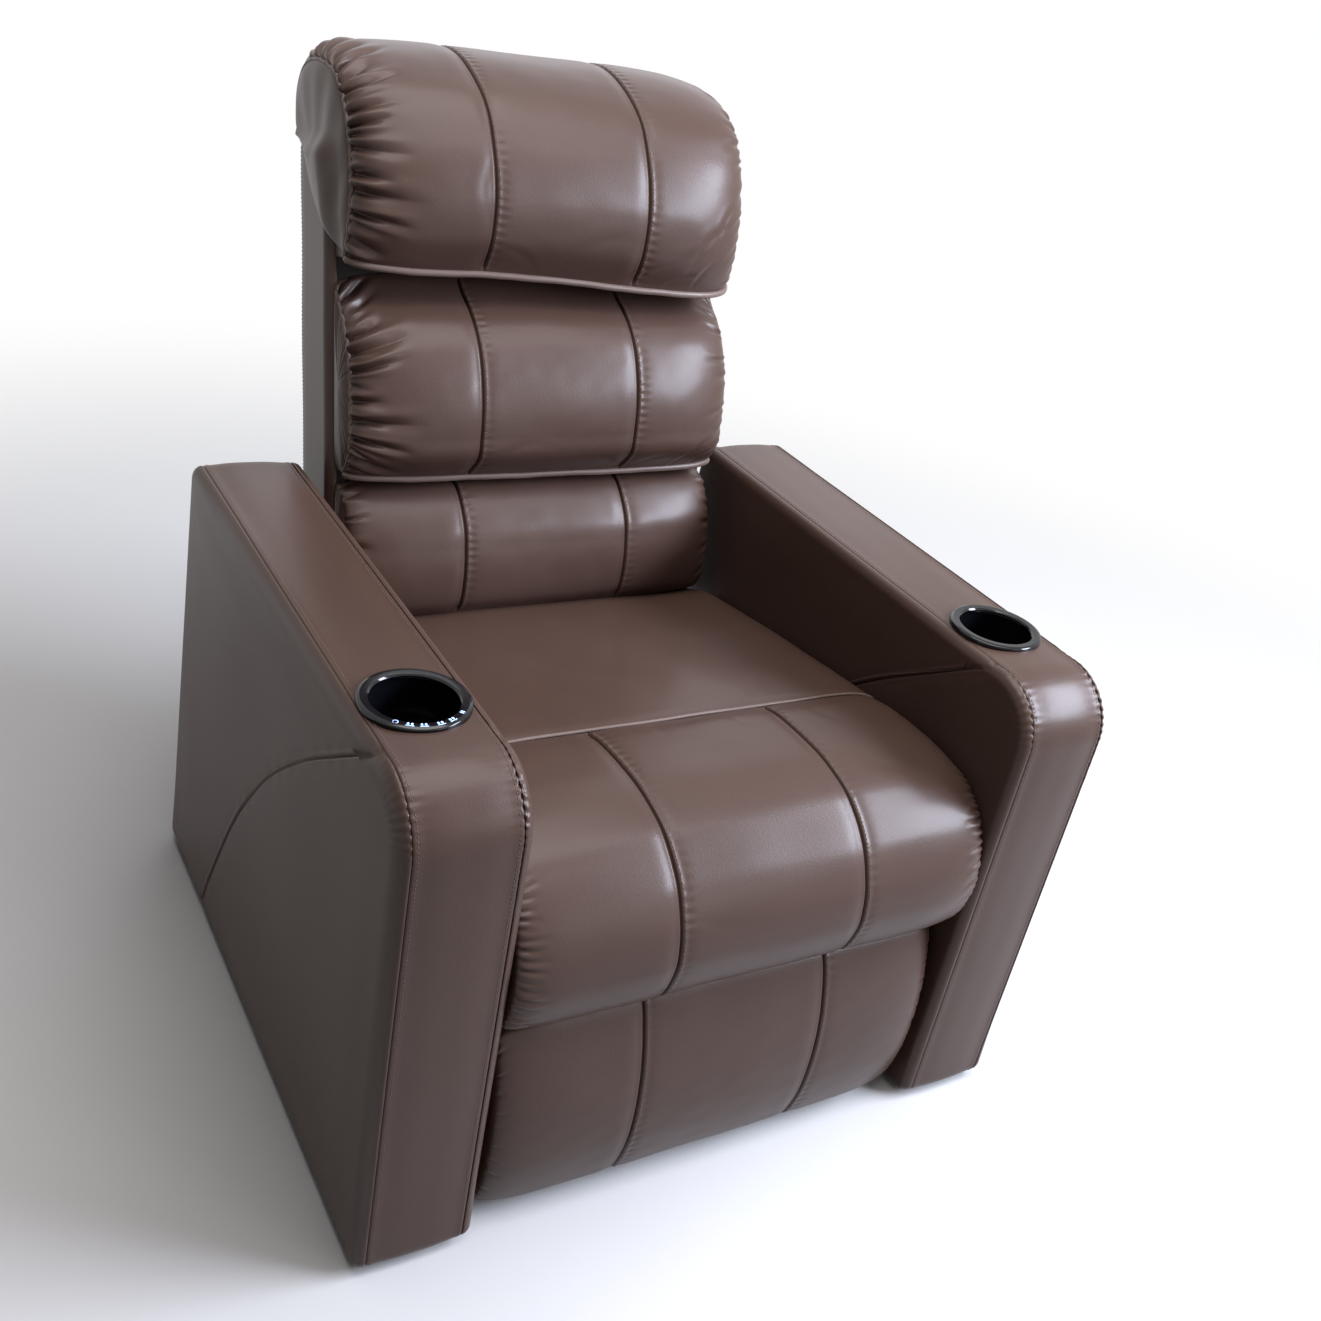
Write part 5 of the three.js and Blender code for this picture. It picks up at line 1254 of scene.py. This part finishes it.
def plywood():
    # Birch plywood, sanded and unfinished: long pale grain and thin darker plies.
    material, tree, place = new_material("birch_plywood")
    stretch = add(tree, "ShaderNodeMapping", {"Vector": place, "Scale": (3.0, 60.0, 12.0)}).outputs[0]
    grain = noise(tree, stretch, 2.2, 6.0)
    mixed = combined(tree, "MULTIPLY", grain, waves(tree, place, "Z", 95.0, 1.5, 1.0))
    surface(tree, {
        "Base Color": shaded(tree, mixed, "plywood", 0.62),
        "Roughness": ranged(tree, grain, 0.6, 0.75), "Normal": bump(tree, grain, 0.2, 0.0004),
    })
    return material


def zinc_steel():
    # Zinc plated steel, passivated: a bright grey metal with a faint mottle from the plating bath.
    material, tree, place = new_material("zinc_plated_steel")
    scratch = noise(tree, place, 420.0, 3.0)
    surface(tree, {
        "Base Color": shaded(tree, cells(tree, place, 160.0), "zinc", 0.75), "Metallic": 1.0,
        "Roughness": ranged(tree, scratch, 0.3, 0.46), "Normal": bump(tree, scratch, 0.12, 0.0002),
    })
    return material


def black_steel():
    # Steel under a satin powder coat: fine orange peel of about 2 mm softens the reflections.
    material, tree, place = new_material("powder_coated_steel")
    dust = noise(tree, place, 22.0, 4.0)
    surface(tree, {
        "Base Color": shaded(tree, dust, "black_steel", 1.6), "Roughness": ranged(tree, dust, 0.4, 0.55),
        "Normal": bump(tree, noise(tree, place, 500.0), 0.25, 0.0003),
    })
    return material


def gloss_black():
    # Moulded ABS from a polished tool: deep black with sharp reflections and a trace of dust.
    shine = {"IOR": 1.53, "Specular IOR Level": 0.35}
    return plain("polished_black_abs", "gloss_black", 1.8, (90.0, 5.0), (0.06, 0.16), **shine)


def matt_black():
    # Moulded polypropylene with a spark-eroded texture: flat black, fine-grained.
    name = "textured_black_polypropylene"
    return plain(name, "matt_black", 1.5, (800.0, 3.0), (0.55, 0.75), (0.3, 0.0003))


def lining_cloth():
    # Woven dust cloth, black: dull, with a plain weave drawn at 1.5 mm so that it shows.
    material, tree, place = new_material("black_dust_cloth")
    weave = combined(tree, "MULTIPLY", waves(tree, place, "X", 105.0), waves(tree, place, "Z", 105.0))
    surface(tree, {
        "Base Color": shaded(tree, weave, "lining", 1.7),
        "Roughness": 0.9, "Normal": bump(tree, weave, 0.4, 0.0004),
    })
    return material


def lit_marks():
    # Printed marks lit from behind by small lamps: a cool white that is uneven over each mark.
    glow = {"Emission Color": tint("marks"), "Emission Strength": 1.8}
    return plain("backlit_print", "marks", 0.8, (300.0, 2.0), 0.3, **glow)


MAKERS = {
    "leatherette": leatherette, "cord_cover": cord_leatherette, "thread": thread, "plywood": plywood,
    "zinc_steel": zinc_steel, "black_steel": black_steel, "gloss_black": gloss_black,
    "matt_black": matt_black, "lining": lining_cloth, "marks": lit_marks,
}
made_materials = {}


def finish(name):
    if name not in made_materials:
        made_materials[name] = MAKERS[name]()
    return made_materials[name]


# Operators, one for each piece or group of like pieces

class RECLINER_OT_stage(bpy.types.Operator):
    """Floor, world, lamps and the camera at the photograph's place"""
    bl_idname = "recliner.stage"
    bl_label = "Stage and camera"

    def execute(self, context):
        scene = context.scene
        scene.view_settings.view_transform = "Standard"
        right, down, ahead = camera_axes(CAMERA_TURN)
        data = bpy.data.cameras.new("photo_camera")
        data.sensor_width, data.lens = SENSOR_WIDTH, SENSOR_WIDTH * FOCAL_PIXELS / PICTURE_PIXELS
        data.clip_start, data.clip_end = 0.05, 120
        camera = bpy.data.objects.new("photo_camera", data)
        camera.matrix_world = placed(right, -down, -ahead, in_frame(CAMERA_EYE))
        scene.collection.objects.link(camera)
        scene.camera = camera

        # The floor is a round disc, wide enough to fill the view.
        turn = np.linspace(0, 2 * pi, 64, endpoint=False)
        rim = FLOOR_RADIUS * np.stack([np.cos(turn), np.sin(turn), 0 * turn], -1)
        mesh = bpy.data.meshes.new("studio_floor")
        mesh.from_pydata(rim.tolist(), [], [list(range(64))])
        mesh.materials.append(floor_material())
        floor = bpy.data.objects.new("studio_floor", mesh)
        scene.collection.objects.link(floor)

        world = bpy.data.worlds.new("studio_world")
        world.use_nodes = True
        tree = world.node_tree
        tree.nodes.clear()
        hex_value, strength = ROOM_LIGHT
        room, white = (
            add(tree, "ShaderNodeBackground", {"Color": colour, "Strength": power}).outputs[0]
            for colour, power in ((linear(hex_value), strength), ((1, 1, 1, 1), 1.0))
        )
        mix = add(tree, "ShaderNodeMixShader", {0: seen_directly(tree), 1: room, 2: white})
        add(tree, "ShaderNodeOutputWorld", {"Surface": mix.outputs[0]})
        scene.world = world

        for settings in LAMPS:
            lamp(*settings)
        return {"FINISHED"}


def camera_axes(turn):
    """Right, down and ahead from a rotation vector: cos t I + sin t [k] + (1 - cos t) k k^T, by rows."""
    turn = np.array(turn)
    angle = np.linalg.norm(turn)
    x, y, z = turn / angle
    cross = np.array([[0, -z, y], [z, 0, -x], [-y, x, 0]])
    return np.eye(3) + sin(angle) * cross + (1 - cos(angle)) * cross @ cross


def placed(side, above, back, place):
    """The matrix of a camera or lamp from its three axes and its place."""
    axes = np.eye(4)
    axes[:3] = np.stack([side, above, back, place], -1)
    return Matrix(axes.tolist())


def lamp(name, place, target, width, height, power, hex_value, turn):
    """A rectangular soft lamp that faces a place, turned about its own axis by turn degrees."""
    data = bpy.data.lights.new(name, "AREA")
    data.shape, data.size, data.size_y, data.energy = "RECTANGLE", width, height, power
    data.color = linear(hex_value)[:3]
    made = bpy.data.objects.new(name, data)
    back = np.array(place, float) - np.array(target, float)
    back /= np.linalg.norm(back)
    side = np.cross((0, 0, 1), back)
    side /= np.linalg.norm(side)
    above = np.cross(back, side)
    c, s = cos(radians(turn)), sin(radians(turn))
    made.matrix_world = placed(c * side + s * above, c * above - s * side, back, place)
    bpy.context.scene.collection.objects.link(made)


def seen_directly(tree):
    """1 for the rays that show a thing itself, straight, in gloss or through glass, and else 0."""
    ray = add(tree, "ShaderNodeLightPath").outputs
    seen = combined(tree, "MAXIMUM", ray["Is Camera Ray"], ray["Is Glossy Ray"])
    return combined(tree, "MAXIMUM", seen, ray["Is Transmission Ray"])


def floor_material():
    # Sealed pale concrete: nearly white, with a slow cloudiness that keeps the seat's shadow soft. Away
    # from the seat it runs into the white background, for rays that show it.
    material, tree, place = new_material("sealed_pale_concrete")
    seen = seen_directly(tree)
    pale = combined(tree, "MULTIPLY", seen, ranged(tree, noise(tree, place, 1.4, 5.0), 0.85, 1.1))
    concrete = add(tree, "ShaderNodeBsdfPrincipled", {
        "Base Color": blended(tree, pale, tint("floor_shade"), tint("floor")), "Roughness": 0.8,
    })
    away = add(tree, "ShaderNodeVectorMath", {0: place}, operation="LENGTH").outputs["Value"]
    reach = {"Value": away, "From Min": FLOOR_FADE[0], "From Max": FLOOR_FADE[1]}
    far = add(tree, "ShaderNodeMapRange", reach, interpolation_type="SMOOTHSTEP").outputs["Result"]
    share = combined(tree, "MULTIPLY", seen, far)
    white = add(tree, "ShaderNodeEmission", {"Color": (1, 1, 1, 1), "Strength": 1.0}).outputs[0]
    mix = add(tree, "ShaderNodeMixShader", {0: share, 1: concrete.outputs[0], 2: white})
    add(tree, "ShaderNodeOutputMaterial", {"Surface": mix.outputs[0]})
    return material


def cover(name, shape, body, replaced, place=upright):
    """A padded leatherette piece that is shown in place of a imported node."""
    made = piece(name, *shape, finish("leatherette"), body, "leatherette", place)
    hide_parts(replaced)


def trim(name, shape, body, place=upright, kind="thread"):
    """Stitches or cords on a cover."""
    piece(name, *shape, finish(kind), body, "leatherette", place)


def sewn_cushion(name, body, replaced, place, first, last):
    """A cushion and its stitches, from the first row to the last, which is counted from the end."""
    grid, out, across, shape = cushion(name)
    cover(f"{name}_cushion", shape, body, replaced, place)
    rows = slice(first, CUSHIONS[name]["rows"] - last)
    trim(f"{name}_stitches", seam_stitches(grid, out, across, CUSHIONS[name]["seam"], rows), body, place)
    return grid, out


class RECLINER_OT_frame_finishes(bpy.types.Operator):
    """Finishes of the wooden frame, steel linkage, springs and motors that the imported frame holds"""
    bl_idname = "recliner.frame_finishes"
    bl_label = "Frame and mechanism finishes"

    def execute(self, context):
        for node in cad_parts.values():
            for slot in node.material_slots:
                slot.material = finish(slot.material.name.split(".")[0])
        return {"FINISHED"}


class RECLINER_OT_arms(bpy.types.Operator):
    """Padded sides, top bands and their stitching for both arms"""
    bl_idname = "recliner.arms"
    bl_label = "Arms"

    def execute(self, context):
        for side, sign in (("left", -1), ("right", 1)):
            mirror = np.array([sign, 1, 1])
            leather = finish("leatherette")
            seams = []
            for place, face, seam_x in (
                ("outer", ARM_OUTSIDE, BAND_OUTSIDE + 0.3), ("inner", ARM_INSIDE, BAND_INSIDE - 0.3),
            ):
                points, faces, grid, row, facing = arm_side(face, seam_x)
                name = f"arm_{place}_panel_{side}"
                made = piece(name, points * mirror, faces, leather, "base", "leatherette")
                merge(made)
                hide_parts(f"arm_{place}_cover_{side}")
                line = even(grid[3:-3, row], 400)
                up = np.tile((float(facing), 0, 0), (len(line), 1))
                seams.append(stitches(line * mirror, up * mirror))
            (points, faces), skin, across = arm_band()
            made = piece(f"arm_band_{side}", points * mirror, faces, leather, "base", "leatherette")
            with_hole(made, (sign * CUP_X, CUP_Y), CUP_HOLE_RADIUS, ARM_TOP - 40, ARM_TOP + 30)
            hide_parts(f"arm_top_cover_{side}")
            out = np.swapaxes(outward(np.swapaxes(skin, 0, 1)), 0, 1)
            for x in (across[0] + 5.0, across[-1] - 5.0):
                line, up = (line_at(values, across, x, slice(6, -6)) for values in (skin, out))
                # The normal is turned away from a place inside the arm.
                facing = (up * (line - (0, 400, 300)))[:, 1:].sum(axis=1, keepdims=True)
                up = np.where(facing < 0, -up, up)
                seams.append(stitches(line * mirror, up * mirror))
            trim(f"arm_stitches_{side}", together(*seams), "base")
        return {"FINISHED"}


def merge(made):
    """Merges the doubled places at the ends of a side panel's grid, so that it closes."""
    work = bmesh.new()
    work.from_mesh(made.data)
    bmesh.ops.remove_doubles(work, verts=work.verts, dist=1e-6)
    bmesh.ops.dissolve_degenerate(work, edges=work.edges, dist=1e-7)
    bmesh.ops.recalc_face_normals(work, faces=work.faces)
    work.to_mesh(made.data)
    work.free()


class RECLINER_OT_cup_holders(bpy.types.Operator):
    """Cup wells, their rings, and the lit touch marks on the left ring"""
    bl_idname = "recliner.cup_holders"
    bl_label = "Cup holders"

    def execute(self, context):
        for side, sign in (("left", -1), ("right", 1)):
            centre = (sign * CUP_X, CUP_Y, CUP_SEAT)
            for name, profile, steps, replaced in (
                ("cup_well", cup_well(), 120, "cup_holder"), ("cup_ring", cup_ring(), 160, "cup_rim"),
            ):
                shape = lathe(profile, centre, steps)
                made = piece(f"{name}_{side}", *shape, finish("gloss_black"), "base", "gloss_black")
                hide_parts(f"{replaced}_{side}")
        points, faces = touch_marks(-CUP_X, CUP_Y, CUP_SEAT + CUP_RIM_HEIGHT + 0.3)
        piece("touch_marks_left", points, faces, finish("marks"), "base", "gloss_black")
        return {"FINISHED"}


class RECLINER_OT_back_pillows(bpy.types.Operator):
    """Headrest, middle and lower pillow with their piping, welts and stitching"""
    bl_idname = "recliner.back_pillows"
    bl_label = "Back pillows"

    def execute(self, context):
        for name, replaced in (
            ("headrest", "headrest_pillow"), ("middle_pillow", "middle_pillow"),
            ("lower_pillow", "lower_pillow"),
        ):
            grid, out = sewn_cushion(name, "back", replaced, on_back, 4, 6)
            count = CUSHIONS[name]["rows"]
            if name == "headrest":
                leather = finish("leatherette")
                for side, column in (("left", 0), ("right", -1)):
                    shape = end_flap(grid[:count, column])
                    flap = piece(f"headrest_flap_{side}", *shape, leather, "back", "leatherette", on_back)
            if name != "lower_pillow":
                piping = end_piping(grid, slice(0, count - 6), size("piping_radius"))
                welt = edge_welt(grid, out, size("welt_radius"))
                # Piping and welts take the paler cord browns: a painted highlight.
                trim(f"{name}_piping", together(piping, welt), "back", on_back, "cord_cover")
        return {"FINISHED"}


class RECLINER_OT_seat(bpy.types.Operator):
    """Seat roll, deck and the welt of the cross seam"""
    bl_idname = "recliner.seat"
    bl_label = "Seat cushion"

    def execute(self, context):
        sewn_cushion("seat_roll", "seat", "seat_roll", on_tray, 5, 8)
        cover("seat_deck_cushion", cushion("seat_deck")[-1], "seat", "seat_deck", on_tray)
        x = np.linspace(-SEAT_HALF + 4, SEAT_HALF - 4, 180)
        dip = 24 * (1 - np.sqrt(np.clip(1 - np.abs(x / SEAT_HALF) ** 10, 0, 1)))
        welt = np.stack([x, 0.6 * np.sin(x / 31), -1.5 - dip + 0.2 * np.sin(x / 17)], -1)
        # The cross seam welt takes the paler cord browns: a painted highlight.
        trim("cross_seam_welt", tube(welt, 2.2, 12, taper=6), "seat", on_tray, "cord_cover")
        return {"FINISHED"}


class RECLINER_OT_footrest(bpy.types.Operator):
    """Footrest pad with its stitching"""
    bl_idname = "recliner.footrest"
    bl_label = "Footrest pad"

    def execute(self, context):
        sewn_cushion("footrest", "footrest", "footrest_pad", upright, 4, 4)
        return {"FINISHED"}


class RECLINER_OT_back_shell(bpy.types.Operator):
    """Padded cover round the back, its stitching, and the cloth behind the pillows"""
    bl_idname = "recliner.back_shell"
    bl_label = "Back cover"

    def execute(self, context):
        shape, skin, run, seams = back_shell()
        cover("back_cover_shell", shape, "back", "back_cover", on_back)
        parts = []
        for at in (seams[0] - 5.2, seams[1] + 5.2):
            line = line_at(np.swapaxes(skin, 0, 1), run, at, slice(3, -3))
            up = np.tile((np.sign(line[0, 0]) * 0.2, 1.0, 0), (len(line), 1))
            parts.append(stitches(line, up))
        trim("back_cover_stitches", together(*parts), "back", on_back)
        half, low, high = BACK_HALF - 13.6, BACK_FOOT + 2, BACK_HEAD - 2
        shape = board_cloth(half, low, high, BACK_FACE, 0.7)
        cloth = piece("back_lining", *shape, finish("lining"), "back", "leatherette", on_back)
        flap = piece("seat_back_flap", *back_flap(FLAP_HALF, 0.9), finish("leatherette"), None, "leatherette")
        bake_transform(flap)
        return {"FINISHED"}


class RECLINER_PT_panel(bpy.types.Panel):
    """Lists the seat's pieces, sizes and colours"""
    bl_label = "Cinema recliner seat"
    bl_idname = "RECLINER_PT_panel"
    bl_space_type = "VIEW_3D"
    bl_region_type = "UI"
    bl_category = "Recliner"

    def draw(self, context):
        for kind in OPERATORS:
            self.layout.operator(kind.bl_idname)
        for group in (context.scene.recliner_sizes, context.scene.recliner_colours):
            box = self.layout.box()
            for name in group.__annotations__:
                box.prop(group, name)


OPERATORS = (
    RECLINER_OT_stage, RECLINER_OT_frame_finishes, RECLINER_OT_arms, RECLINER_OT_cup_holders,
    RECLINER_OT_back_shell, RECLINER_OT_back_pillows, RECLINER_OT_seat, RECLINER_OT_footrest,
)
CLASSES = (ReclinerSizes, ReclinerColours, *OPERATORS, RECLINER_PT_panel)


def register():
    for kind in CLASSES:
        bpy.utils.register_class(kind)
    bpy.types.Scene.recliner_sizes = PointerProperty(type=ReclinerSizes)
    bpy.types.Scene.recliner_colours = PointerProperty(type=ReclinerColours)


def unregister():
    del bpy.types.Scene.recliner_colours
    del bpy.types.Scene.recliner_sizes
    for kind in reversed(CLASSES):
        bpy.utils.unregister_class(kind)


def main():
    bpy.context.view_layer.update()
    register()
    for kind in OPERATORS:
        group, name = kind.bl_idname.split(".")
        getattr(getattr(bpy.ops, group), name)()
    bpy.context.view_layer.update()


if __name__ == "__main__":
    main()
